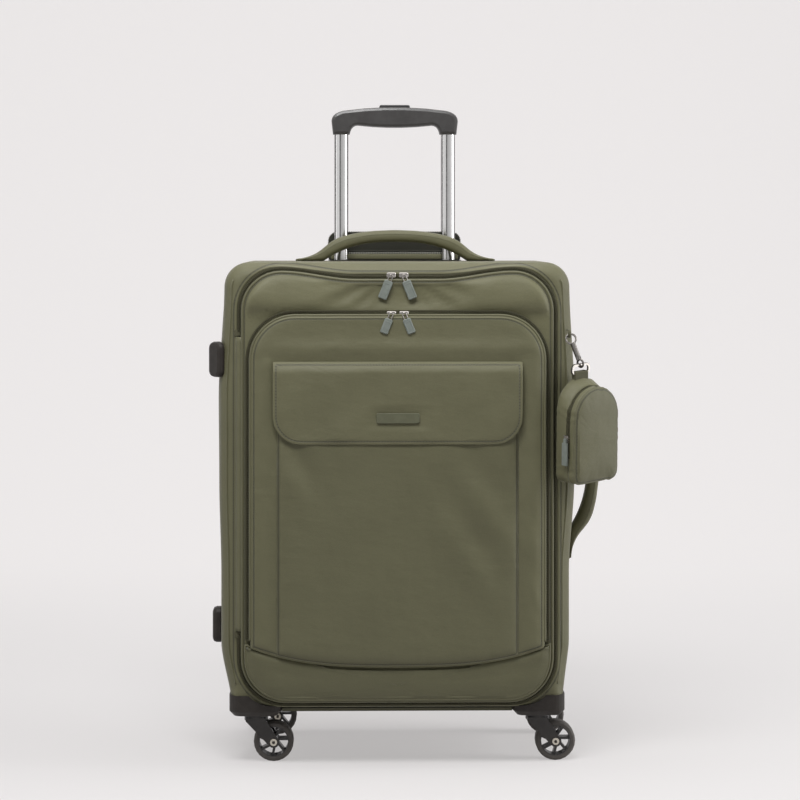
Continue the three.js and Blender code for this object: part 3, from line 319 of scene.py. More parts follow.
def plated(name, colour, roughness, lengthwise=(1, 1, 0.02), tube_middle=0.0):
    material = new_finish(name, colour, roughness)
    shader = material.node_tree.nodes["Principled BSDF"]
    shader.inputs["Metallic"].default_value = 1
    scratches = cloud(material, 0.0012, 2, stretch=lengthwise)
    haze = cloud(material, 0.02, 3)
    rough = calculate(material, "MULTIPLY_ADD", scratches, 0.12, roughness - 0.05)
    rough = calculate(material, "MULTIPLY_ADD", haze, 0.06, rough)
    join(material, rough, shader.inputs["Roughness"])
    dull = tuple(channel * 0.86 for channel in colour)
    join(material, blend_colours(material, haze, colour, dull), shader.inputs["Base Color"])
    layers = [(scratches, 0.0001, 0.08)]
    if tube_middle:
        layers.append((drawn_tube_height(material, tube_middle), 1.0, 1.0))
    raise_surface(material, layers)
    return material


def drawn_tube_height(material, middle):
    """A drawn oval tube is slightly convex in front, so its reflections run in upright bands."""
    coords = add_node(material, "ShaderNodeTexCoord")
    parts = add_node(material, "ShaderNodeSeparateXYZ")
    join(material, coords.outputs["Object"], parts.inputs["Vector"])
    across = calculate(material, "ABSOLUTE", parts.outputs["X"])
    across = calculate(material, "SUBTRACT", across, middle)
    square = calculate(material, "MULTIPLY", across, across)
    return calculate(material, "MULTIPLY", square, -1 / (2 * 0.013))


charcoal = moulded("charcoal_moulding", (0.025, 0.021, 0.018), 0.48, shine=0.24)
grip_plastic = moulded("grip_moulding", (0.030, 0.028, 0.027), 0.36, coat=0.15)
button_plastic = moulded("button_moulding", (0.020, 0.019, 0.019), 0.34)
fork_plastic = moulded("fork_moulding", (0.024, 0.021, 0.019), 0.36, coat=0.1, shine=0.35)
tab_rubber = moulded("pull_tab_rubber", (0.165, 0.185, 0.165), 0.45)
label_finish = moulded("label_rubber", (0.088, 0.090, 0.052), 0.5)
chrome = plated("tube_chrome", (0.67, 0.66, 0.655), 0.12, tube_middle=0.0735)
hardware = plated("hardware_plating", (0.40, 0.375, 0.355), 0.22, (1, 1, 1))
hook_metal = plated("hook_plating", (0.24, 0.225, 0.210), 0.24, (1, 1, 1))
print("hard finishes ready")

# %% [markdown]
# ## Sheets from a grid
# Nearly every cloth piece here is a sheet that was cut flat, bent round an edge and sewn. So one helper
# makes them all: it adds a grid, lays its rows on a list of rings, merges the seam where the last
# column meets the first, and turns the faces outwards. A ring that shrinks to a point closes the piece.
# The grid's own UV map is rescaled to metres along and away from the edge, for the stitches.

# %% Sheet helper
def alone(piece):
    bpy.ops.object.select_all(action="DESELECT")
    piece.select_set(True)
    bpy.context.view_layer.objects.active = piece


def finish_mesh(piece):
    alone(piece)
    bpy.ops.object.mode_set(mode="EDIT")
    bpy.ops.mesh.select_all(action="SELECT")
    bpy.ops.mesh.remove_doubles(threshold=0.000001)
    bpy.ops.mesh.normals_make_consistent(inside=False)
    bpy.ops.object.mode_set(mode="OBJECT")
    bpy.ops.object.shade_smooth()


def sheet(name, rings, along, away, closed=True):
    rings = np.asarray(rings, float)
    rows, columns = rings.shape[:2]
    steps = columns if closed else columns - 1
    bpy.ops.object.select_all(action="DESELECT")
    bpy.ops.mesh.primitive_grid_add(x_subdivisions=steps, y_subdivisions=rows - 1, size=2)
    piece = bpy.context.object
    piece.name = name
    piece.data.name = name
    mesh = piece.data
    spots = np.zeros(len(mesh.vertices) * 3)
    mesh.vertices.foreach_get("co", spots)
    spots = spots.reshape(-1, 3)
    column = np.rint((spots[:, 0] + 1) / 2 * steps).astype(int)
    row = np.rint((spots[:, 1] + 1) / 2 * (rows - 1)).astype(int)
    mesh.vertices.foreach_set("co", rings[row, column % columns].ravel())
    corners = np.zeros(len(mesh.loops), int)
    mesh.loops.foreach_get("vertex_index", corners)
    uv = np.column_stack([along[column], away[row, column % columns]])[corners]
    mesh.uv_layers[0].name = "UVMap"
    mesh.uv_layers[0].data.foreach_set("uv", uv.ravel())
    mesh.update()
    finish_mesh(piece)
    return piece


def modify(piece, kind, **values):
    alone(piece)
    modifier = piece.modifiers.new(kind.lower(), kind)
    for key, value in values.items():
        setattr(modifier, key, value)
    bpy.ops.object.modifier_apply(modifier=modifier.name)


def dress(piece, body, finish, replaces=()):
    if not piece.data.materials:
        piece.data.materials.append(finish)
    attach(piece, body)
    if replaces:
        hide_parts(*replaces)
    print(piece.name, "faces:", len(piece.data.polygons))


# %% [markdown]
# ## Outlines
# The front of the case is drawn with rounded outlines in the XZ plane. They use the sizes of the CAD
# model in metres, so that each cloth piece lies where its solid does. An outline can be drawn in by a
# distance along its own normals, which keeps the seam allowance even all the way round.

# %% Outline helpers
def arc(x, z, radius, start, end, count=14):
    angles = np.radians(np.linspace(start, end, count))
    return np.column_stack([x + radius * np.cos(angles), z + radius * np.sin(angles)])


def line(start, end, count):
    share = np.linspace(0, 1, count + 2)[1:-1, None]
    return np.asarray(start) * (1 - share) + np.asarray(end) * share


def rounded_loop(half, low, top, low_radius, top_radius, sag=0.0):
    """An upright rounded outline. Its top edge may sag, with a straight stretch in the middle."""
    right = half - top_radius
    share = np.linspace(1, -1, 48)[1:-1]
    edge = np.column_stack([right * share, top - sag * (1 - ease((np.abs(share) - 0.36) / 0.64))])
    return np.vstack([
        line((0, low), (half - low_radius, low), 20),
        arc(half - low_radius, low + low_radius, low_radius, -90, 0),
        line((half, low + low_radius), (half, top - top_radius), 64),
        arc(right, top - top_radius, top_radius, 0, 90),
        edge,
        arc(-right, top - top_radius, top_radius, 90, 180),
        line((-half, top - top_radius), (-half, low + low_radius), 64),
        arc(-half + low_radius, low + low_radius, low_radius, 180, 270),
        line((-half + low_radius, low), (0, low), 20),
        [(0, low)],
    ])


def lengths(path, closed=True):
    ends = np.vstack([path, path[:1]]) if closed else path
    return np.concatenate([[0], np.cumsum(np.linalg.norm(np.diff(ends, axis=0), axis=1))])


def resample(path, count, closed=True):
    ends = np.vstack([path, path[:1]]) if closed else np.asarray(path)
    run = lengths(path, closed)
    at = np.linspace(0, run[-1], count + 1)[:count] if closed else np.linspace(0, run[-1], count)
    return np.column_stack([np.interp(at, run, ends[:, axis]) for axis in range(ends.shape[1])])


def drawn_in(loop, distance):
    ahead = np.roll(loop, -1, axis=0) - np.roll(loop, 1, axis=0)
    ahead /= np.linalg.norm(ahead, axis=1)[:, None]
    return loop + np.reshape(distance, (-1, 1)) * np.column_stack([-ahead[:, 1], ahead[:, 0]])


def distance_to(points, loop):
    spans = np.roll(loop, -1, axis=0) - loop
    sizes = np.maximum((spans ** 2).sum(1), 1e-12)
    away = points[:, None, :] - loop[None]
    share = np.clip((away * spans[None]).sum(2) / sizes[None], 0, 1)
    return np.sqrt(((away - share[..., None] * spans[None]) ** 2).sum(2)).min(1)


def ripple(x, z, size, seed, count=8):
    generator = np.random.RandomState(seed)
    total = np.zeros_like(x)
    for _ in range(count):
        angle, phase, scale = generator.uniform((0, 0, 0.7), (6.28, 6.28, 1.6))
        total += np.sin((x * np.cos(angle) + z * np.sin(angle)) * 6.28 / (size * scale) + phase)
    return total / count


def ease(value):
    value = np.clip(value, 0, 1)
    return value * value * (3 - 2 * value)


def dent(x, z, middle_z, half_x, half_z):
    """A soft hollow where a pull tab or a plate presses the cloth."""
    return np.exp(-((x / half_x) ** 6) - ((z - middle_z) / half_z) ** 6)


print("outline helpers ready")

# %% [markdown]
# ## A padded tray
# Panels, pouch halves and the lid all have the same build: a face, a rounded edge and a wall that goes
# back to the seam. The face is crowned, because foam pushes it out between its seams. A function for
# relief may add the folds of one certain panel.

# %% Tray helper
def seam_waves(run, length, seed):
    """Small uneven waves along a seam, where the thread draws the cloth together."""
    generator = np.random.RandomState(seed)
    total = np.zeros_like(run)
    for wavelength in (0.009, 0.012, 0.016, 0.023, 0.034):
        turns = max(round(length / wavelength), 1)
        total += np.sin(run / length * turns * 2 * math.pi + generator.uniform(0, 6.28))
    total *= 0.6 + 0.4 * np.sin(run / length * 5 * 2 * math.pi + generator.uniform(0, 6.28))
    return total / 5


def tray(name, loop, back, front, edge, crown=0.0, spread=0.018, relief=None, pucker=0.0, rows=22,
         seed=1, base_loop=None, centre=None):
    facing = 1 if back > front else -1
    base_loop = loop if base_loop is None else base_loop
    middle = loop.mean(axis=0) if centre is None else np.array(centre)
    run = lengths(loop)
    waves = pucker * seam_waves(run[:-1], run[-1], seed)
    rings = []
    away = []

    def add_ring(points, depth, distance):
        depth = np.broadcast_to(depth, len(points))
        rings.append(np.column_stack([points[:, 0], depth, points[:, 1]]))
        away.append(np.broadcast_to(distance, len(points)))

    for share in (0.0, 0.35, 0.7, 0.96):
        add_ring(middle + share * (base_loop - middle), back, 0.03)
    for share in np.linspace(0, 1, 4):
        wall = base_loop + share * (loop - base_loop)
        add_ring(wall, back + share * (front + facing * edge - back), -0.02)
    for angle in np.radians((22, 45, 68, 90)):
        inset = edge * (1 - math.cos(angle))
        add_ring(drawn_in(loop, inset), front + facing * edge * (1 - math.sin(angle)), inset)
    base = drawn_in(loop, edge)
    for share in np.linspace(0, 1, rows)[1:] ** 1.35:
        points = middle + (1 - share) * (base - middle)
        distance = distance_to(points, loop)
        rise = crown * (1 - np.exp(-np.maximum(distance - edge, 0) / spread))
        rise = rise + waves * ease((distance - edge) / 0.003) * np.exp(-distance / 0.008)
        if relief:
            rise = rise + relief(points[:, 0], points[:, 1], distance)
        add_ring(points, front - facing * rise, distance)
    rings[-1][:] = rings[-1].mean(axis=0)
    return sheet(name, rings, run, np.array(away))


def line_inside(piece, finish, facing_y, beyond):
    """Gives the faces that look along Y and lie beyond a depth a second finish."""
    piece.data.materials.append(finish)
    for face in piece.data.polygons:
        if face.normal.y * facing_y > 0.7 and face.center.y * facing_y > beyond * facing_y:
            face.material_index = 1


print("tray helper ready")

# %% [markdown]
# ## Piping, tape and teeth
# Piping is a thin cord inside a strip of cloth, sewn into a seam. It is made as a tube that runs along
# an outline. A flat tube gives the zip tape. The teeth are one small bevelled block, modelled once and
# set down along the same outline, every second one on the other half of the zip.

# %% Tube and teeth helpers
def in_space(loop, depth):
    depth = np.broadcast_to(depth, len(loop))
    return np.column_stack([loop[:, 0], depth, loop[:, 1]])


def frames_along(path, up, closed):
    path = np.asarray(path, float)
    if closed:
        ahead = np.roll(path, -1, axis=0) - np.roll(path, 1, axis=0)
    else:
        ahead = np.gradient(path, axis=0)
    ahead /= np.linalg.norm(ahead, axis=1)[:, None]
    side = np.cross(ahead, up)
    side /= np.linalg.norm(side, axis=1)[:, None]
    return ahead, side, np.cross(side, ahead)


def tube(name, path, wide, thick, closed=False, up=(0, 1, 0), sides=8):
    path = np.asarray(path, float)
    ahead, side, top = frames_along(path, np.asarray(up, float), closed)
    rings = []
    for angle in np.linspace(0, 2 * math.pi, sides + 1):
        ring = path + side * wide * math.cos(angle) + top * thick * math.sin(angle)
        if not closed:
            ring = np.vstack([path[:1], ring, path[-1:]])
        rings.append(ring)
    ends = path if closed else np.vstack([path[:1], path, path[-1:]])
    run = lengths(ends, closed)
    away = np.repeat(np.linspace(0, 0.02, sides + 1)[:, None], len(ends), axis=1)
    return sheet(name, rings, run, away, closed)


def one_tooth(size):
    bpy.ops.object.select_all(action="DESELECT")
    bpy.ops.mesh.primitive_cube_add(size=1, scale=size)
    tooth = bpy.context.object
    bpy.ops.object.mode_set(mode="EDIT")
    bpy.ops.mesh.select_all(action="SELECT")
    bpy.ops.mesh.bevel(offset=min(size) * 0.3, segments=1)
    bpy.ops.object.mode_set(mode="OBJECT")
    corners = np.array([tuple(v.co) for v in tooth.data.vertices])
    faces = [tuple(face.vertices) for face in tooth.data.polygons]
    scale = np.array(tuple(tooth.scale))
    bpy.data.objects.remove(tooth)
    return corners * scale, faces


def teeth(name, path, pitch, size, offset=0.0, phase=0.0):
    count = int(lengths(path, False)[-1] / pitch)
    spots = resample(path, count, False)
    ahead, side, top = frames_along(spots, np.array([0.0, 1.0, 0.0]), False)
    corners, faces = one_tooth(size)
    spots = spots + side * offset + ahead * pitch * phase
    placed = (
        spots[:, None]
        + corners[None, :, 0, None] * ahead[:, None]
        + corners[None, :, 1, None] * side[:, None]
        + corners[None, :, 2, None] * top[:, None]
    ).reshape(-1, 3)
    all_faces = []
    for index in range(len(spots)):
        base = index * len(corners)
        all_faces += [tuple(base + corner for corner in face) for face in faces]
    mesh = bpy.data.meshes.new(name)
    mesh.from_pydata(placed.tolist(), [], all_faces)
    piece = bpy.data.objects.new(name, mesh)
    bpy.context.scene.collection.objects.link(piece)
    finish_mesh(piece)
    return piece


print("tube and teeth helpers ready")

# %% [markdown]
# ## The case body
# The body is one skin of foam-backed cloth: the rear face, four sides that belly out a little, and a
# rim in front that ends at the zip. Its rings start in the middle of the rear face, run forward over
# the rounded edges and end on the outline of the lid. A wall turns the skin into cloth with a lining,
# and a cut in the top makes room for the handle's recess.

# %% Shape of the case body
CASE_HALF = 0.231
BASE_HALF = 0.215
CASE_LOW = 0.0043
CASE_TOP = 0.582
CASE_WALL = 0.0032
TUCK = 0.090
REAR = 0.1235
REAR_SWELL = 0.0035
FRONT = -0.1235
FRONT_ROUND = 0.022
REAR_ROUND = 0.010
SLOT_PLACE = (0, 0.096, 0.580)
SLOT_SIZE = (0.1834, 0.0344, 0.03)
LID_HALF = 0.200
LID_LOW = 0.016
LID_TOP = 0.5695
LID_SAG = 0.0105
LID_EDGE = 0.0018
CASE_EDGE = 0.0071


def case_loop(inset=0.0):
    loop = rounded_loop(
        CASE_HALF - inset, CASE_LOW + 0.4 * inset, CASE_TOP - inset, 0.014, 0.032 - inset / 2
    )
    share = 1 - ease((TUCK - loop[:, 1]) / (TUCK - CASE_LOW)) * (1 - BASE_HALF / CASE_HALF)
    loop[:, 0] *= share
    slack_top = 0.0065 * ease((loop[:, 1] - 0.40) / 0.16)
    slack_low = 0.0070 * ease((0.30 - loop[:, 1]) / 0.12) * ease((loop[:, 1] - 0.01) / 0.07)
    slack_low[loop[:, 0] < 0] *= 0.35
    loop[:, 0] -= np.sign(loop[:, 0]) * (slack_top + slack_low) * ease(np.abs(loop[:, 0]) / 0.2)
    return loop


def lid_loop(grow=0.0):
    return rounded_loop(
        LID_HALF + grow, LID_LOW - grow, LID_TOP + grow, 0.056 + grow, 0.050 + grow, LID_SAG
    )


def rim_depth(points):
    """How far forward the rounded front edge lies at points of the front."""
    distance = distance_to(points, case_loop())
    distance = distance * (1 + 1.5 * ease((0.035 - points[:, 1]) / 0.02))
    share = np.clip(1 - distance / FRONT_ROUND, 0, 1)
    return FRONT + FRONT_ROUND * (1 - np.sqrt(1 - share ** 2))


def side_belly(points, share):
    """The sides swell between base and top, more in the upper third, and rumple a little."""
    x, z = points[:, 0], points[:, 1]
    side = ease((np.abs(x) - 0.200) / 0.02)
    window = ease((z - 0.09) / 0.12) * ease((0.560 - z) / 0.06)
    swell = 0.0022 + 0.0018 * np.exp(-(((z - 0.41) / 0.10) ** 2))
    rumple = 0.0008 * ripple(z, z * 0 + share * 0.2, 0.11, 5)
    return side * window * (swell + rumple) * math.sin(math.pi * min(max(share, 0), 1)) ** 0.6


rings = []
away = []
outer = case_loop()
rear_base = case_loop(REAR_ROUND)
middle = rear_base.mean(axis=0)
for share in np.linspace(0, 1, 20) ** 0.8:
    points = middle + share * (rear_base - middle)
    distance = distance_to(points, outer)
    rumple = 0.0008 * ripple(points[:, 0], points[:, 1], 0.16, 2)
    swell = REAR_SWELL * (1 - np.exp(-distance / 0.06)) + rumple
    rings.append(in_space(points, REAR - REAR_SWELL + swell))
    away.append(distance)
for angle in np.radians((68, 45, 22)):
    inset = REAR_ROUND * (1 - math.cos(angle))
    rings.append(in_space(case_loop(inset), REAR - REAR_SWELL - REAR_ROUND * (1 - math.sin(angle))))
    away.append(distance_to(case_loop(inset), outer))
side_rear = REAR - REAR_SWELL - REAR_ROUND
side_front = FRONT + FRONT_ROUND
for share in np.linspace(0, 1, 22):
    depth = side_rear + share * (side_front - side_rear)
    points = drawn_in(outer, -side_belly(outer, share))
    rings.append(in_space(points, depth))
    away.append(np.full(len(outer), -0.02))
opening = lid_loop(CASE_EDGE)
for share in np.linspace(0, 1, 12)[1:]:
    points = outer + share * (opening - outer)
    fold = 0.0006 * ripple(points[:, 0], points[:, 1], 0.05, 9) * math.sin(math.pi * share)
    depth = rim_depth(points) + (FRONT - rim_depth(points)) * ease((share - 0.4) / 0.6)
    rings.append(in_space(points, depth - fold))
    away.append(distance_to(points, opening))
case_body = sheet("case_body", rings, lengths(outer), np.array(away))
print("case body rings:", len(rings))

# %% Give the case body its wall, its lining and the slot for the handle
case_body.data.materials.append(cloth_edge)
case_body.data.materials.append(lining_cloth)
modify(case_body, "SOLIDIFY", thickness=CASE_WALL, offset=-1, material_offset=1)
bpy.ops.object.select_all(action="DESELECT")
bpy.ops.mesh.primitive_cube_add(size=1, location=SLOT_PLACE, scale=SLOT_SIZE)
slot_cutter = bpy.context.object
bpy.ops.object.mode_set(mode="EDIT")
bpy.ops.mesh.select_all(action="SELECT")
bpy.ops.mesh.bevel(offset=0.0015, segments=2)
bpy.ops.object.mode_set(mode="OBJECT")
modify(case_body, "BOOLEAN", object=slot_cutter, operation="DIFFERENCE", solver="EXACT")
bpy.data.objects.remove(slot_cutter)
dress(case_body, "root", cloth_edge, ["case_shell"])

# %% [markdown]
# ## The lid and its kick panel
# The whole front opens like a book. It is a padded panel with a puffed band between the two zips and a
# padded kick panel below, where shoes and kerbs knock against it. The line of the zip sags in the
# middle, as on any case that hangs from its corners, and the pull tabs press a hollow into the band.

# %% Lid cover
LID_BACK = -0.119
LID_FRONT = -0.133
BAND_LOW = 0.519
POCKET_HALF = 0.189
POCKET_TOP = 0.514
SMILE_LOW = 0.0615
SMILE_END = 0.0895


def lid_relief(x, z, distance):
    share = np.clip((z - BAND_LOW) / (LID_TOP - BAND_LOW), 0, 1)
    slope = 0.0050 * (1 - share) + 0.0036 * np.sin(np.pi * share)
    pressed = dent(x, z, 0.548, 0.094, 0.034)
    slope *= 1 - 0.98 * pressed
    beside = np.exp(-(((np.abs(x) - 0.06) / 0.04) ** 2))
    rays = 0.0017 * np.sin(np.arctan2(z - 0.575, x) * 22) * beside
    folds = 0.0022 * ripple(x, z, 0.08, 21) + rays - 0.0030 * pressed
    band = np.sin(np.pi * share ** 0.7)
    return (slope + band * folds) * ease(distance / 0.012) * ease((z - 0.512) / 0.014)


lid_cover = tray(
    "lid_cover", lid_loop(LID_EDGE), LID_BACK, LID_FRONT, 0.006, relief=lid_relief, pucker=0.0009,
    rows=34, seed=2,
)
lid_cover.data.materials.append(cloth_lid_painted_lit)
line_inside(lid_cover, lining_cloth, 1, -0.1195)
dress(lid_cover, "lid", cloth_lid_painted_lit, ["lid_panel"])


# %% Kick panel below the front pocket
def smile(x, half, shift=0.0):
    """The curved seam between front pocket and kick panel."""
    share = np.clip(np.abs(x) / half, 0, 1)
    return SMILE_LOW + shift + (SMILE_END - SMILE_LOW) * share ** 2.9


KICK_HALF = 0.1965
KICK_LOW = 0.0190
KICK_CORNER = 0.0540
KICK_BACK = -0.1325
KICK_FRONT = -0.1435


def kick_loop():
    half, low, corner = KICK_HALF, KICK_LOW, KICK_CORNER
    x = np.linspace(half, -half, 60)
    return resample(np.vstack([
        line((0, low), (half - corner, low), 20),
        arc(half - corner, low + corner, corner, -90, 0),
        np.column_stack([x, smile(x, half, 0.0022)]),
        arc(-half + corner, low + corner, corner, 180, 270),
        line((-half + corner, low), (0, low), 20),
        [(0, low)],
    ]), 220)


def kick_relief(x, z, distance):
    """The cloth swells towards the pocket's lower seam, so that the seam is a narrow groove."""
    swell = 0.0030 * ease(1 - (smile(x, KICK_HALF) - z) / 0.022)
    return (swell + 0.0016 * ripple(x, z, 0.07, 33)) * ease(distance / 0.006)


kick_panel = tray(
    "kick_panel", kick_loop(), KICK_BACK, KICK_FRONT, 0.005, 0.0035, 0.012, kick_relief,
    pucker=0.0012, seed=3, centre=(0, 0.039),
)
dress(kick_panel, "lid", cloth_kick_painted_shade)

# %% [markdown]
# ## The front pocket, its patch pocket and the flap
# The front pocket is a lightly padded panel inside its own zip. A flat patch pocket is sewn on it on
# three sides, and its soft flap hangs from a seam above. The cloth swells in the narrow strips beside
# the patch pocket and above the flap, where nothing holds it down.

# %% Front pocket panel
POCKET_BACK = -0.141
POCKET_FRONT = -0.149
POCKET_CORNER = 0.057
PATCH_HALF = 0.155
PATCH_LOW = 0.0645
PATCH_TOP = 0.428
PATCH_DEPTH = -0.1497
FLAP_HALF = 0.160
FLAP_LOW = 0.349
FLAP_TOP = 0.455
FLAP_CORNER = 0.036


def pocket_loop():
    x = np.linspace(-POCKET_HALF, POCKET_HALF, 70)
    corner = POCKET_CORNER
    right = POCKET_HALF - corner
    return resample(np.vstack([
        np.column_stack([x, smile(x, KICK_HALF, 0.0002)]),
        line((POCKET_HALF, SMILE_END), (POCKET_HALF, POCKET_TOP - corner), 60),
        arc(right, POCKET_TOP - corner, corner, 0, 90),
        line((right, POCKET_TOP), (-right, POCKET_TOP), 40),
        arc(-right, POCKET_TOP - corner, corner, 90, 180),
        line((-POCKET_HALF, POCKET_TOP - corner), (-POCKET_HALF, SMILE_END), 60),
    ]), 300)


def pocket_relief(x, z, distance):
    inner = ease(distance / 0.012)
    beside = np.sin(np.pi * np.clip((np.abs(x) - 0.157) / 0.032, 0, 1)) * ease((0.47 - z) / 0.02)
    above = np.sin(np.pi * np.clip((z - 0.457) / 0.057, 0, 1))
    above *= 1 - 0.98 * dent(x, z, 0.502, 0.182, 0.026)
    folds = ripple(x, z, 0.055, 41) * ease((z - 0.457) / 0.01)
    side_folds = ripple(x * 3, z, 0.045, 43) * beside
    return inner * (0.0028 * beside + 0.0038 * above + 0.0012 * folds * above + 0.0010 * side_folds)


pocket_cover = tray(
    "pocket_cover", pocket_loop(), POCKET_BACK, POCKET_FRONT, 0.004, relief=pocket_relief,
    pucker=0.0010, rows=40, seed=5,
)
pocket_cover.data.materials.append(cloth_edge)
line_inside(pocket_cover, lining_cloth, 1, -0.1415)
dress(pocket_cover, "front_pocket", cloth_edge, ["pocket_panel"])

# %% Patch pocket, a single sheet with a hem
columns = np.linspace(-PATCH_HALF, PATCH_HALF, 80)
rings = []
away = []
for share in np.linspace(0, 1, 90):
    low = PATCH_LOW + 0.014 * (np.abs(columns) / PATCH_HALF) ** 3
    z = low + share * (PATCH_TOP - low)
    sides = PATCH_HALF - np.abs(columns)
    distance = np.minimum(sides, z - low)
    lift = 0.0060 * (1 - np.exp(-np.minimum(sides, (z - low) * 1.2) / 0.006))
    slant = np.sin((columns * 0.8 + z * 0.6) * 6.28 / 0.060 + 0.7)
    near_right = np.exp(-(((columns - 0.105) / 0.045) ** 2) - ((z - 0.26) / 0.10) ** 2)
    near_left = np.exp(-(((columns + 0.13) / 0.03) ** 2) - ((z - 0.33) / 0.06) ** 2)
    edge_waves = seam_waves(z + columns * 0, 0.36, 6) * np.exp(-sides / 0.014)
    low_waves = seam_waves(columns, 0.31, 7) * np.exp(-(z - low) / 0.012)
    folds = 0.0015 * ripple(columns, z, 0.10, 55) + 0.0026 * slant * (near_right + near_left)
    folds = folds + 0.0014 * (edge_waves + low_waves)
    held = ease(distance / 0.006)
    rings.append(np.column_stack([columns, PATCH_DEPTH - lift - folds * held, z]))
    away.append(distance)
patch_sheet = sheet(
    "patch_sheet", rings, lengths(columns[:, None], False), np.array(away), closed=False
)
if patch_sheet.data.polygons[0].normal.y > 0:
    patch_sheet.data.flip_normals()
modify(patch_sheet, "SOLIDIFY", thickness=0.0014, offset=-1)
dress(patch_sheet, "front_pocket", cloth_patch_painted_shade, ["patch_pocket"])


# %% The flap over the patch pocket
def flap_loop():
    half, low, corner = FLAP_HALF, FLAP_LOW, FLAP_CORNER
    return resample(np.vstack([
        line((0, low), (half - corner, low), 40),
        arc(half - corner, low + corner, corner, -90, 0),
        line((half, low + corner), (half, FLAP_TOP), 20),
        [(half, FLAP_TOP)],
        line((half, FLAP_TOP), (-half, FLAP_TOP), 80),
        [(-half, FLAP_TOP)],
        line((-half, FLAP_TOP), (-half, low + corner), 20),
        arc(-half + corner, low + corner, corner, 180, 270),
        line((-half + corner, low), (0, low), 40),
        [(0, low)],
    ]), 240)


def flap_relief(x, z, distance):
    held = ease(distance / 0.008)
    pull = 0.0006 * np.sin(x * 6.28 / 0.11) * ease((0.42 - z) / 0.05)
    folds = 0.0014 * ripple(x, z * 1.6, 0.09, 61)
    return held * (0.0012 + folds + pull) * (1 - dent(x, z, 0.383, 0.040, 0.014))


flap_pad = tray(
    "flap_pad", flap_loop(), -0.1564, -0.1584, 0.0012, relief=flap_relief, pucker=0.0007, rows=24,
    seed=8,
)
spots = np.array([tuple(v.co) for v in flap_pad.data.vertices])
spots[:, 1] += 0.0068 * np.clip((spots[:, 2] - 0.441) / 0.014, 0, 1) ** 1.6
flap_pad.data.vertices.foreach_set("co", spots.ravel())
flap_pad.data.update()
dress(flap_pad, "flap", cloth_flap, ["pocket_flap"])

# %% [markdown]
# ## The zips
# The main zip leaves out the stretch on the left where the lid is hinged, and ends there in two sewn
# bars. Each half of a zip rides on its own body, so that the halves part when the case opens.

# %% Main zip
HINGE_LOW = 0.102
HINGE_TOP = 0.490
ZIP_LINE = 0.0037
ZIP_CASE_TAPE = 0.0053
TAPE_DEPTH = -0.1246
TEETH_DEPTH = -0.1256
TOOTH = (0.0011, 0.0015, 0.0010)
TOOTH_PITCH = 0.0021


def zip_run(loop, low, top):
    """The part of a loop that has a zip, from its upper left end clockwise to its lower left end."""
    loop = loop[::-1]
    gone = (loop[:, 0] < 0) & (loop[:, 1] > low) & (loop[:, 1] < top)
    start = np.where(gone & ~np.roll(gone, -1))[0][0] + 1
    loop = np.roll(loop, -start, axis=0)
    return loop[~np.roll(gone, -start)]


def run_at(grow, depth):
    path = zip_run(lid_loop(grow), HINGE_LOW, HINGE_TOP)
    return in_space(resample(path, 420, False), depth)


case_tape = tube("zip_tape_case", run_at(ZIP_CASE_TAPE, TAPE_DEPTH), 0.0017, 0.0008, sides=6)
dress(case_tape, "root", zip_ribbon, ["main_zip_case"])
lid_tape = tube("zip_tape_lid", run_at(LID_EDGE, TAPE_DEPTH), 0.0016, 0.0008, sides=6)
dress(lid_tape, "lid", zip_ribbon, ["main_zip_lid"])
teeth_run = run_at(ZIP_LINE, TEETH_DEPTH)
case_teeth = teeth("zip_teeth_case", teeth_run, TOOTH_PITCH, TOOTH, -0.0007)
dress(case_teeth, "root", coil_nylon)
lid_teeth = teeth("zip_teeth_lid", teeth_run, TOOTH_PITCH, TOOTH, 0.0007, phase=0.5)
dress(lid_teeth, "lid", coil_nylon)


# %% Front pocket zip
def pocket_run(out, depth):
    loop = drawn_in(pocket_loop(), -out)
    return in_space(resample(loop[loop[:, 1] > 0.0935], 380, False), depth)


lid_side = tube("pocket_tape_lid", pocket_run(0.0052, -0.1368), 0.0016, 0.0008, sides=6)
dress(lid_side, "lid", zip_ribbon, ["pocket_zip_lid"])
pocket_side = tube("pocket_tape_panel", pocket_run(-0.0002, -0.1395), 0.0016, 0.0016, sides=6)
dress(pocket_side, "front_pocket", zip_ribbon, ["pocket_zip_panel"])
teeth_run = pocket_run(0.0034, -0.1382)
outer_teeth = teeth("pocket_teeth_lid", teeth_run, TOOTH_PITCH, TOOTH, 0.0007)
dress(outer_teeth, "lid", coil_nylon)
inner_teeth = teeth("pocket_teeth_panel", teeth_run, TOOTH_PITCH, TOOTH, -0.0007, phase=0.5)
dress(inner_teeth, "front_pocket", coil_nylon)

# %% [markdown]
# ## Piping
# Thin cords in the seams catch the light and draw the lines of the case: round the lid, round the front
# pocket, round the kick panel, and down the front and rear edges of the body.

# %% Piping in the seams
lid_seam = resample(drawn_in(lid_loop(LID_EDGE), 0.0020), 460)
lid_cord = tube("lid_piping", in_space(lid_seam, -0.1312), 0.0020, 0.0020, True)
dress(lid_cord, "lid", cloth_piping_painted_shade)
pocket_cord = tube("pocket_piping", pocket_run(0.0002, -0.1462), 0.0018, 0.0018)
dress(pocket_cord, "front_pocket", cloth_piping_painted_shade)
kick_seam = drawn_in(kick_loop(), 0.0008)
kick_cord = tube("kick_piping", in_space(kick_seam, -0.1412), 0.0014, 0.0014, True)
dress(kick_cord, "lid", cloth_piping_painted_shade)


def edge_run(side, inset, top):
    """The seam down a corner of the body, from the top edge to the base."""
    loop = drawn_in(case_loop(), inset)
    path = loop[(loop[:, 0] * side > 0.19) & (loop[:, 1] > 0.03) & (loop[:, 1] < top)]
    path = path[np.argsort(np.arctan2(path[:, 1] - 0.25, path[:, 0] * side))]
    return resample(path, 120, False)


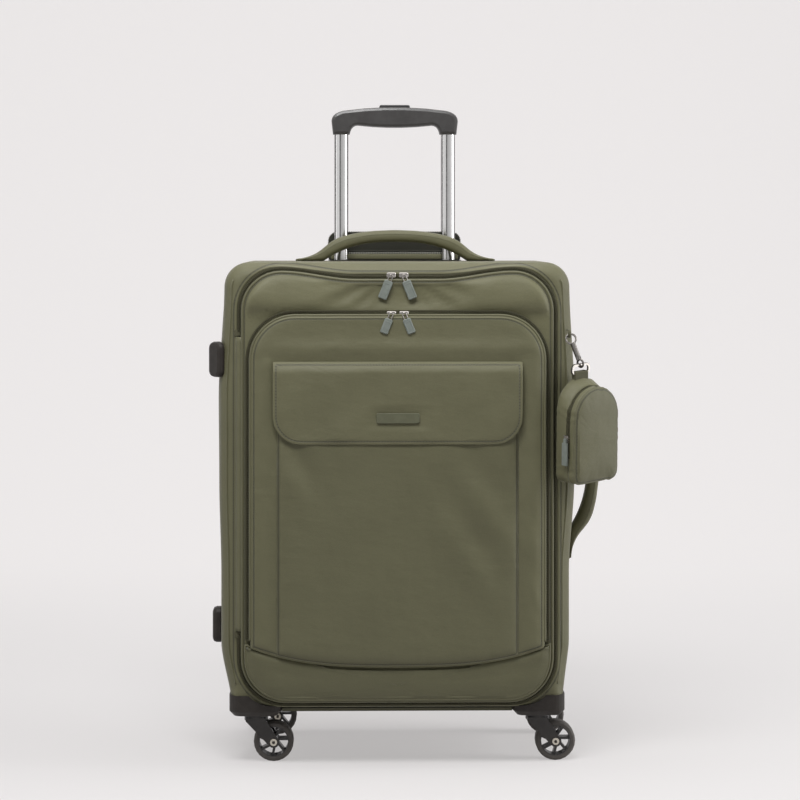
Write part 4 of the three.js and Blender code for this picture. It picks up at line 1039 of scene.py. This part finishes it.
for side, word in ((-1, "left"), (1, "right")):
    run = edge_run(side, 0.0105, 0.562)
    cord = tube("front_piping_" + word, in_space(run, rim_depth(run) - 0.0004), 0.0013, 0.0013)
    dress(cord, "root", cloth_piping_painted_shade)
    run = edge_run(side, 0.0014, 0.576)
    cord = tube("rear_piping_" + word, in_space(run, 0.1148), 0.0015, 0.0015)
    dress(cord, "root", cloth_piping_painted_shade)

# %% Sewn bars at the two ends of the main zip
for word, z in (("upper", HINGE_TOP + 0.001), ("lower", HINGE_LOW - 0.001)):
    bar = tray(
        "zip_end_" + word, rounded_loop(0.0055, z - 0.004, z + 0.004, 0.001, 0.001),
        -0.1235, -0.1252, 0.0005, rows=6,
    )
    bar.data.transform(Matrix.Translation((-0.2052, 0, 0)))
    dress(bar, "root", webbing)

# %% [markdown]
# ## The fabric hinge
# Between the two ends of the zip a strip of cloth joins the lid to the body. It crosses the joint.

# %% Hinge strip
rings = []
for share in np.linspace(0, 1, 9):
    x = -0.2085 + 0.0080 * share
    z = np.linspace(HINGE_LOW + 0.004, HINGE_TOP - 0.004, 60)
    y = -0.1238 - 0.0050 * share - 0.0022 * math.sin(math.pi * share)
    rings.append(np.column_stack([np.full(60, x), np.full(60, y), z]))
away = np.repeat(np.linspace(0, 0.0095, 9)[:, None], 60, axis=1)
hinge_strip = sheet("hinge_strip", rings, lengths(rings[0], False), away, closed=False)
modify(hinge_strip, "SOLIDIFY", thickness=0.0008, offset=0)
hinge_strip.data.materials.append(cloth_plain)
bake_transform(hinge_strip)
print("hinge strip crosses from body to lid")

# %% [markdown]
# ## Handles
# Both carry handles are a foam core in the shell's cloth, sewn down at flat tails and arched between
# them. The section is a rounded rectangle that is thick in the middle and thins towards the tails. Two
# cords run along each handle, where the strips of cloth meet.

# %% Shape of a carry handle
HANDLE_HALF = 0.135
HANDLE_GAP = 0.097
HANDLE_UNDER = 0.0258
HANDLE_WIDTH = 0.0165
ARCH_STATIONS = (0, 0.030, 0.055, 0.072, 0.082, 0.090, 0.097, 0.105, 0.114, 0.124, 0.135)
ARCH_HEIGHTS = (0.042, 0.0408, 0.0376, 0.0336, 0.0296, 0.0243, 0.0178, 0.0116, 0.0072, 0.0042, 0.0024)


def handle_under(along):
    return HANDLE_UNDER * (1 - np.clip(np.abs(along) / HANDLE_GAP, 0, 1) ** 2.6)


def handle_top(along):
    """The arch stands on tails that lie flat, so its outer line turns twice on each side."""
    rise = np.interp(np.abs(along), ARCH_STATIONS, ARCH_HEIGHTS)
    kernel = np.ones(7) / 7
    padded = np.concatenate([np.repeat(rise[:1], 3), rise, np.repeat(rise[-1:], 3)])
    return np.convolve(padded, kernel, mode="valid")


def handle_pad(name, to_world):
    along = np.linspace(-HANDLE_HALF, HANDLE_HALF, 140)
    low, high = handle_under(along), handle_top(along)
    width = HANDLE_WIDTH * np.clip(1 - (np.abs(along) / HANDLE_HALF) ** 26, 0.2, 1)
    rings = []
    for angle in np.linspace(0, 2 * math.pi, 33):
        across = np.sign(math.cos(angle)) * abs(math.cos(angle)) ** 0.55
        rise = np.sign(math.sin(angle)) * abs(math.sin(angle)) ** 0.62
        height = (low + high) / 2 + (high - low) / 2 * rise
        ring = np.column_stack([along, width * across, height])
        rings.append(np.vstack([(along[0], 0, 0.002), ring, (along[-1], 0, 0.002)]))
    rings = np.array(rings)
    run = lengths(rings[8], False)
    away = np.linspace(0, 0.09, 33)[:, None] * np.ones(rings.shape[1])
    return sheet(name, to_world(rings), run, away, closed=False)


def handle_cord(name, to_world, across):
    along = np.linspace(-HANDLE_HALF * 0.98, HANDLE_HALF * 0.98, 120)
    low, high = handle_under(along), handle_top(along)
    path = np.column_stack([along, np.full(120, across), low + (high - low) * 0.66])
    up = to_world(np.array([0, 1.0, 0])) - to_world(np.zeros(3))
    return tube(name, to_world(path), 0.0011, 0.0011, up=up)


def on_top(points):
    return points + np.array([0, 0.038, 0.5823])


def on_side(points):
    turned = np.stack([points[..., 2], points[..., 1], points[..., 0]], axis=-1)
    return turned + np.array([0.2313, 0, 0.318])


for word, place in (("top", on_top), ("side", on_side)):
    pad = handle_pad(word + "_handle_pad", place)
    dress(pad, "root", cloth_pouch, [word + "_handle"])
    for across, end in ((-0.0155, "front"), (0.0155, "rear")):
        cord = handle_cord(word + "_handle_piping_" + end, place, across)
        dress(cord, "root", cloth_piping_painted_shade)

# %% [markdown]
# ## The flap behind the tubes
# A stiff flap of dark cloth stands behind the trolley tubes and closes the slot when the handle is down.
# A row of teeth is sewn along its free edge, and a zip crosses it low down, its teeth given a pale
# colour as painted light in the shade behind the handle.

# %% Slot flap
slot_loop = resample(rounded_loop(0.0915, 0.5829, 0.6218, 0.002, 0.0128), 180)
slot_fabric = tray("slot_flap_fabric", slot_loop, 0.1164, 0.1138, 0.0010, 0.0006, rows=10)
dress(slot_fabric, "slot_flap", dark_ribbon, ["trolley_flap"])
edge = slot_loop[slot_loop[:, 1] > 0.600]
edge = edge[np.argsort(-edge[:, 0])]
edge_path = in_space(resample(edge[::-1], 160, False), 0.1143)
slot_teeth = teeth("slot_flap_teeth", edge_path, 0.0024, (0.0011, 0.0020, 0.0010))
dress(slot_teeth, "slot_flap", coil_nylon)

slot_run = np.column_stack([np.linspace(-0.088, 0.088, 60), np.full(60, 0.1132), np.full(60, 0.5925)])
for word, drop, wide, finish in (
    ("upper", -0.0026, 0.0014, dark_ribbon), ("lower", 0.0052, 0.0042, cloth_piping_painted_shade)
):
    strip = tube("slot_zip_tape_" + word, slot_run - np.array([0, 0, drop]), wide, 0.0006, sides=6)
    dress(strip, "slot_flap", finish)
# painted light: these teeth are coloured pale although they sit in shade
slot_zip = teeth("slot_zip_teeth", slot_run, 0.0023, (0.0012, 0.0026, 0.0010))
dress(slot_zip, "slot_flap", painted_lit_coil)

# %% [markdown]
# ## Lining and webbing
# A loose lining hides the trolley tubes inside. A short loop of webbing is sewn into the seam of the
# front corner and carries the snap hook.

# %% Lining sheet inside the case
LINING_LOW = 0.0095
LINING_HEIGHT = 0.5475
LINING_HALF = 0.2255
lining_rings = []
for share in np.linspace(0, 1, 24):
    z = LINING_LOW + share * LINING_HEIGHT
    half = LINING_HALF - 0.016 * float(ease((TUCK - z) / 0.0857))
    x = np.linspace(-half, half, 40)
    y = 0.0849 - 0.0008 * ripple(x, np.full(40, z), 0.12, 71)
    lining_rings.append(np.column_stack([x, y, np.full(40, z)]))
lining_sheet = sheet(
    "lining_sheet", lining_rings, np.linspace(0, 0.45, 40),
    np.linspace(0, LINING_HEIGHT, 24)[:, None] * np.ones(40), closed=False,
)
modify(lining_sheet, "SOLIDIFY", thickness=0.001, offset=0)
dress(lining_sheet, "root", lining_cloth, ["lining_panel"])

# %% Webbing loop for the snap hook
LOOP_X = 0.222
loop_path = [
    (LOOP_X, -0.1120, 0.4944), (LOOP_X, -0.1200, 0.4944), (LOOP_X, -0.1290, 0.4942),
    (LOOP_X, -0.1320, 0.4926), (LOOP_X, -0.1330, 0.4896), (LOOP_X, -0.1320, 0.4866),
    (LOOP_X, -0.1290, 0.4850), (LOOP_X, -0.1200, 0.4847), (LOOP_X, -0.1120, 0.4847),
]
loop_path = resample(np.array(loop_path), 40, False)
strap = tube("webbing_loop", loop_path, 0.0006, 0.0020, up=(1, 0, 0), sides=8)
dress(strap, "root", webbing, ["hook_loop"])

# %% [markdown]
# ## The hanging pouch
# A small padded pouch hangs from the snap hook, turned a little away from the case. It is drawn upright
# in its own coordinates and then carried to its place by one matrix, the same that the CAD model uses.
# Two trays face each other, with a zip between them that follows the round top.

# %% Pouch halves, zip and tab
POUCH_PLACE = (
    Matrix.Translation((0.235783, -0.135764, 0.446995))
    @ Matrix.Rotation(math.radians(7), 4, "X")
    @ Matrix.Rotation(math.radians(40), 4, "Z")
)
POUCH_HALF = 0.040
POUCH_TOP = -0.01305
POUCH_LOW = -0.14605
POUCH_SLOPE = 0.009
POUCH_SPLIT = -0.019


def pouch_loop(drop=0.0):
    loop = rounded_loop(POUCH_HALF, POUCH_LOW, POUCH_TOP - drop, 0.012, POUCH_HALF)
    loop = resample(loop, 190)
    run = lengths(loop)
    bumps = 0.0009 * seam_waves(run[:-1], run[-1], 12)
    return drawn_in(loop, bumps)


def hang(piece, body, finish, replaced=()):
    piece.data.transform(POUCH_PLACE)
    dress(piece, body, finish, replaced)


def pouch_relief(x, z, distance):
    sag = 0.0010 * np.exp(-(((z + 0.115) / 0.025) ** 2))
    return (0.0009 * ripple(x, z, 0.05, 81) + sag) * ease(distance / 0.006)


rear_loop = pouch_loop()
zip_loop = pouch_loop(POUCH_SLOPE)
back_half = tray(
    "pouch_shell", rear_loop, POUCH_SPLIT + 0.0002, 0.0050, 0.006, 0.0014, 0.012, pouch_relief,
    rows=16, base_loop=zip_loop,
)
hang(back_half, "pouch", cloth_pouch, ["pouch_back"])
front_half = tray(
    "pouch_pad", zip_loop, POUCH_SPLIT - 0.0005, -0.0325, 0.006, 0.0032, 0.012, pouch_relief,
    pucker=0.0011, rows=26, seed=4,
)
hang(front_half, "pouch_front", cloth_pouch, ["pouch_front"])
cord = tube("pouch_piping", in_space(drawn_in(zip_loop, 0.0010), -0.0290), 0.0012, 0.0012, True)
hang(cord, "pouch_front", cloth_piping_painted_shade)
cord = tube("pouch_rear_piping", in_space(drawn_in(rear_loop, 0.0008), 0.0012), 0.0011, 0.0011, True)
hang(cord, "pouch", cloth_piping_painted_shade)
arch = zip_loop[zip_loop[:, 1] > -0.112]
for name, depth, body in (("rear", -0.0168, "pouch"), ("front", -0.0213, "pouch_front")):
    ribbon = tube("pouch_tape_" + name, in_space(drawn_in(arch, 0.0003), depth), 0.0008, 0.0014)
    hang(ribbon, body, zip_ribbon)
pouch_teeth = teeth(
    "pouch_teeth", in_space(drawn_in(arch, -0.0004), POUCH_SPLIT), 0.0019, (0.0009, 0.0012, 0.0026)
)
hang(pouch_teeth, "pouch", coil_nylon)
tab_loop = resample(rounded_loop(0.0120, -0.0175, -0.0047, 0.0015, 0.003), 80)
tab = tray("pouch_tab", tab_loop, 0.0032, -0.0032, 0.0012, rows=8)
hang(tab, "pouch", webbing)

# %% [markdown]
# ## Pull tabs
# Each zip slider carries a wire link and a soft rubber tab. The link is a bent wire that passes through
# the slider's bail and through the tab's hole. The tab is one moulding with a raised rim.

# %% Pull tabs of the two large zips
PULL_SLANT = math.radians(22)
PULL_NECK = 0.008


def wire_loop(half, low, top):
    return resample(rounded_loop(half, low, top, half * 0.8, half * 0.95), 40)


def pull_tab(zip_name, side, word, width, length, thickness):
    node = zip_name + "_pull_" + word
    low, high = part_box(node)
    front = low[1]
    back = front + thickness
    pivot = (side * 0.008, 0, high[2] - 0.0011)
    place = Matrix.Translation(pivot) @ Matrix.Rotation(-side * PULL_SLANT, 4, "Y")
    top = -PULL_NECK + 0.0005
    outline = resample(rounded_loop(width / 2, top - length, top, 0.0018, 0.0024), 80)
    rim = rounded_loop(width / 2 - 0.0014, top - length + 0.0014, top - 0.0042, 0.001, 0.001)
    rim = resample(rim, 60)
    tab = tray(node + "_tab", outline, back, front + 0.0004, 0.0008, rows=8)
    frame_cord = tube(node + "_rim", in_space(rim, front + 0.0005), 0.0005, 0.0005, True, sides=6)
    middle = (front + back) / 2
    link_path = in_space(wire_loop(0.0024, top - 0.0035, 0.0012), middle)
    link = tube(node + "_link", link_path, 0.0007, 0.0007, True, sides=8)
    body = zip_name + "_pull_" + word
    for piece, finish, slot in (
        (tab, tab_rubber, "pull_tab"), (frame_cord, tab_rubber, "pull_tab"),
        (link, hardware, "slider_metal"),
    ):
        piece.data.transform(place)
        dress(piece, body, finish, [node] if piece is tab else ())


for side, word in ((-1, "left"), (1, "right")):
    pull_tab("main", side, word, 0.0115, 0.025, 0.0032)
    pull_tab("pocket", side, word, 0.0105, 0.020, 0.0030)

# %% [markdown]
# ## Finishes for the hard parts
# The moulded and plated parts keep their CAD shape, which is exact, and get their finish here. A wheel
# has two materials in one moulding: a rubber tyre outside and a darker plastic centre. The finish tells
# them apart by the distance from the wheel's own axle.

# %% Wheel finish
AXLE_HEIGHT = -0.042
RIM_RADIUS = 0.0195


def radius_from_axle(material, x):
    coords = add_node(material, "ShaderNodeTexCoord")
    parts = add_node(material, "ShaderNodeSeparateXYZ")
    join(material, coords.outputs["Object"], parts.inputs["Vector"])
    along = calculate(material, "SUBTRACT", parts.outputs["X"], x)
    rise = calculate(material, "SUBTRACT", parts.outputs["Z"], AXLE_HEIGHT)
    square = calculate(material, "MULTIPLY", along, along)
    return calculate(material, "SQRT", calculate(material, "MULTIPLY_ADD", rise, rise, square))


def wheel_finish(word, x):
    material = new_finish("wheel_" + word, (0.03, 0.03, 0.03), 0.6)
    shader = material.node_tree.nodes["Principled BSDF"]
    inner = step_down(material, radius_from_axle(material, x), RIM_RADIUS, RIM_RADIUS + 0.0005)
    dust = cloud(material, 0.006, 4)
    tyre = blend_colours(material, dust, (0.050, 0.044, 0.039), (0.082, 0.074, 0.065))
    mixed = blend_colours(material, inner, tyre, (0.028, 0.026, 0.025))
    join(material, mixed, shader.inputs["Base Color"])
    join(material, calculate(material, "MULTIPLY_ADD", inner, -0.28, 0.68), shader.inputs["Roughness"])
    raise_surface(material, [(dust, 0.0006, 0.25), (cloud(material, 0.0008, 1), 0.0002, 0.3)])
    return material


def axle_finish(word, x):
    """The head of an axle is a bright riveted ring round a hollow, whose shade is painted as a dark
    centre.
    """
    material = new_finish("axle_" + word, (0.5, 0.47, 0.42), 0.3)
    shader = material.node_tree.nodes["Principled BSDF"]
    shader.inputs["Metallic"].default_value = 1
    # painted shade: the hollow in the middle of the head is coloured dark
    hollow = step_down(material, radius_from_axle(material, x), 0.0016, 0.0026)
    wear = cloud(material, 0.002, 3)
    ring = blend_colours(material, wear, (0.62, 0.58, 0.50), (0.42, 0.39, 0.34))
    mixed = blend_colours(material, hollow, ring, (0.05, 0.045, 0.04))
    join(material, mixed, shader.inputs["Base Color"])
    join(material, calculate(material, "MULTIPLY_ADD", wear, 0.2, 0.2), shader.inputs["Roughness"])
    raise_surface(material, [(hollow, 0.0008, 0.8), (wear, 0.0004, 0.2)])
    return material


def give(node, material):
    mesh = nodes[node].data
    mesh.materials.clear()
    mesh.materials.append(material)


WHEEL_TRAIL = 0.023
SWIVEL_X = 0.1836
for end in ("front", "rear"):
    for side, sign in (("left", -1), ("right", 1)):
        word = end + "_" + side
        x = sign * SWIVEL_X + WHEEL_TRAIL
        give("caster_wheel_" + word, wheel_finish(word, x))
        give("caster_fork_" + word, fork_plastic)
        give("caster_axle_" + word, axle_finish(word, x))
        give("caster_housing_" + word, charcoal)

# %% Finishes of the other rigid nodes
RIGID = {
    "base_plate": cloth_base_painted_shade, "side_foot_lower": charcoal, "side_foot_upper": charcoal,
    "trolley_cup": grip_plastic, "outer_tube_left": chrome, "outer_tube_right": chrome,
    "middle_tube_left": chrome, "middle_tube_right": chrome, "inner_tube_left": chrome,
    "inner_tube_right": chrome, "grip": grip_plastic, "release_button": button_plastic,
    "release_yoke": button_plastic, "label_plate": label_finish, "snap_hook": hook_metal,
    "hook_gate": hook_metal, "swivel_eye": hook_metal, "pouch_ring": hook_metal,
    "pouch_slider": hardware, "pouch_pull": tab_rubber,
}
for zip_name in ("main", "pocket"):
    for side in ("left", "right"):
        RIGID[zip_name + "_slider_" + side] = hardware
for node, material in RIGID.items():
    give(node, material)
print("rigid nodes finished:", len(RIGID) + 16)

# %% [markdown]
# ## Studio floor and light
# A seamless sweep of pale paper runs from under the case up behind it. Seen directly or in the chrome it
# glows with painted light, more strongly towards the back, and it still catches the shadow of the case.

# %% Floor sweep
FLOOR = -0.068
BEND_START = 2.0
BEND_RADIUS = 1.5
sweep_path = [(-6.0, FLOOR), (BEND_START, FLOOR)]
for angle in np.radians(np.linspace(0, 90, 20)[1:]):
    back = BEND_START + BEND_RADIUS * math.sin(angle)
    sweep_path.append((back, FLOOR + BEND_RADIUS * (1 - math.cos(angle))))
sweep_path.append((BEND_START + BEND_RADIUS, 6.0))
rings = [[(x, y, z) for x in np.linspace(-5, 5, 12)] for y, z in sweep_path]
sweep = sheet("studio_sweep", rings, np.linspace(0, 10, 12), np.zeros((len(rings), 12)), closed=False)
paper = new_finish("studio_paper", (0.60, 0.585, 0.585), 0.9)
shader = paper.node_tree.nodes["Principled BSDF"]
shader.inputs["Specular IOR Level"].default_value = 0.1
output = paper.node_tree.nodes["Material Output"]
glow = add_node(paper, "ShaderNodeEmission")
glow.inputs["Color"].default_value = (0.86, 0.835, 0.83, 1)
coords = add_node(paper, "ShaderNodeTexCoord")
parts = add_node(paper, "ShaderNodeSeparateXYZ")
join(paper, coords.outputs["Object"], parts.inputs["Vector"])
# painted light: the glow grows from the floor near the case to the backdrop
near = step_down(paper, parts.outputs["Y"], 0.0, 2.2)
join(paper, calculate(paper, "MULTIPLY_ADD", near, -0.72, 1.92), glow.inputs["Strength"])
rays = add_node(paper, "ShaderNodeLightPath")
seen = calculate(paper, "MAXIMUM", rays.outputs["Is Camera Ray"], rays.outputs["Is Glossy Ray"])
mixer = add_node(paper, "ShaderNodeMixShader")
join(paper, calculate(paper, "MULTIPLY", seen, 0.425), mixer.inputs[0])
join(paper, shader.outputs[0], mixer.inputs[1])
join(paper, glow.outputs[0], mixer.inputs[2])
join(paper, mixer.outputs[0], output.inputs["Surface"])
sweep.data.materials.append(paper)


# %% Lamps
def area_lamp(name, place, target, size, power):
    data = bpy.data.lights.new(name, "AREA")
    data.shape = "RECTANGLE"
    data.size, data.size_y = size
    data.energy = power
    lamp = bpy.data.objects.new(name, data)
    bpy.context.scene.collection.objects.link(lamp)
    lamp.location = place
    lamp.rotation_euler = (Vector(target) - Vector(place)).to_track_quat("-Z", "Y").to_euler()


area_lamp("key", (-0.25, -1.05, 1.75), (0, -0.13, 0.30), (1.1, 0.5), 27)
area_lamp("top", (0, 0.1, 1.9), (0, 0, 0.4), (1.6, 1.0), 12)
area_lamp("left_rim", (-2.2, 0.0, 0.8), (0, 0, 0.3), (0.8, 1.8), 7)
area_lamp("right_rim", (2.0, -0.2, 0.8), (0, 0, 0.3), (0.8, 1.8), 28)


# %% [markdown]
# ## What the chrome sees
# Polished tubes show their surroundings, and in a studio these are tall white cloths with dark gaps
# between them. The world therefore has upright bands, by direction, that only reflections can see. All
# other light from the world is one even grey.

# %% World with studio bands
world = bpy.data.worlds.new("studio")
world.use_nodes = True
direction = add_node(world, "ShaderNodeTexCoord")
parts = add_node(world, "ShaderNodeSeparateXYZ")
join(world, direction.outputs["Generated"], parts.inputs["Vector"])
forward = calculate(world, "MULTIPLY", parts.outputs["Y"], -1)
heading = calculate(world, "ARCTAN2", parts.outputs["X"], forward)
spread = add_node(world, "ShaderNodeMapRange")
spread.inputs["From Min"].default_value = -math.pi
spread.inputs["From Max"].default_value = math.pi
join(world, heading, spread.inputs["Value"])
bands = add_node(world, "ShaderNodeValToRGB")
BAND_TONES = (
    (-180, 0.75), (-120, 0.25), (-95, 0.05), (-75, 0.9), (-24, 1.0), (-18, 0.06), (-10, 0.06),
    (-5, 0.62), (24, 0.72), (36, 1.0), (80, 0.95), (98, 0.05), (125, 0.3), (180, 0.75),
)
while len(bands.color_ramp.elements) < len(BAND_TONES):
    bands.color_ramp.elements.new(0.5)
for element, (degrees, tone) in zip(bands.color_ramp.elements, BAND_TONES):
    element.position = (degrees + 180) / 360
    element.color = (tone, tone, tone, 1)
join(world, spread.outputs["Result"], bands.inputs["Fac"])
rays = add_node(world, "ShaderNodeLightPath")
even_grey = (0.15, 0.15, 0.155)
shown = blend_colours(world, rays.outputs["Is Glossy Ray"], even_grey, bands.outputs["Color"])
background = world.node_tree.nodes["Background"]
background.inputs["Strength"].default_value = 1
join(world, shown, background.inputs["Color"])
bpy.context.scene.world = world
bpy.context.scene.view_settings.view_transform = "Standard"
print("world bands:", len(BAND_TONES))
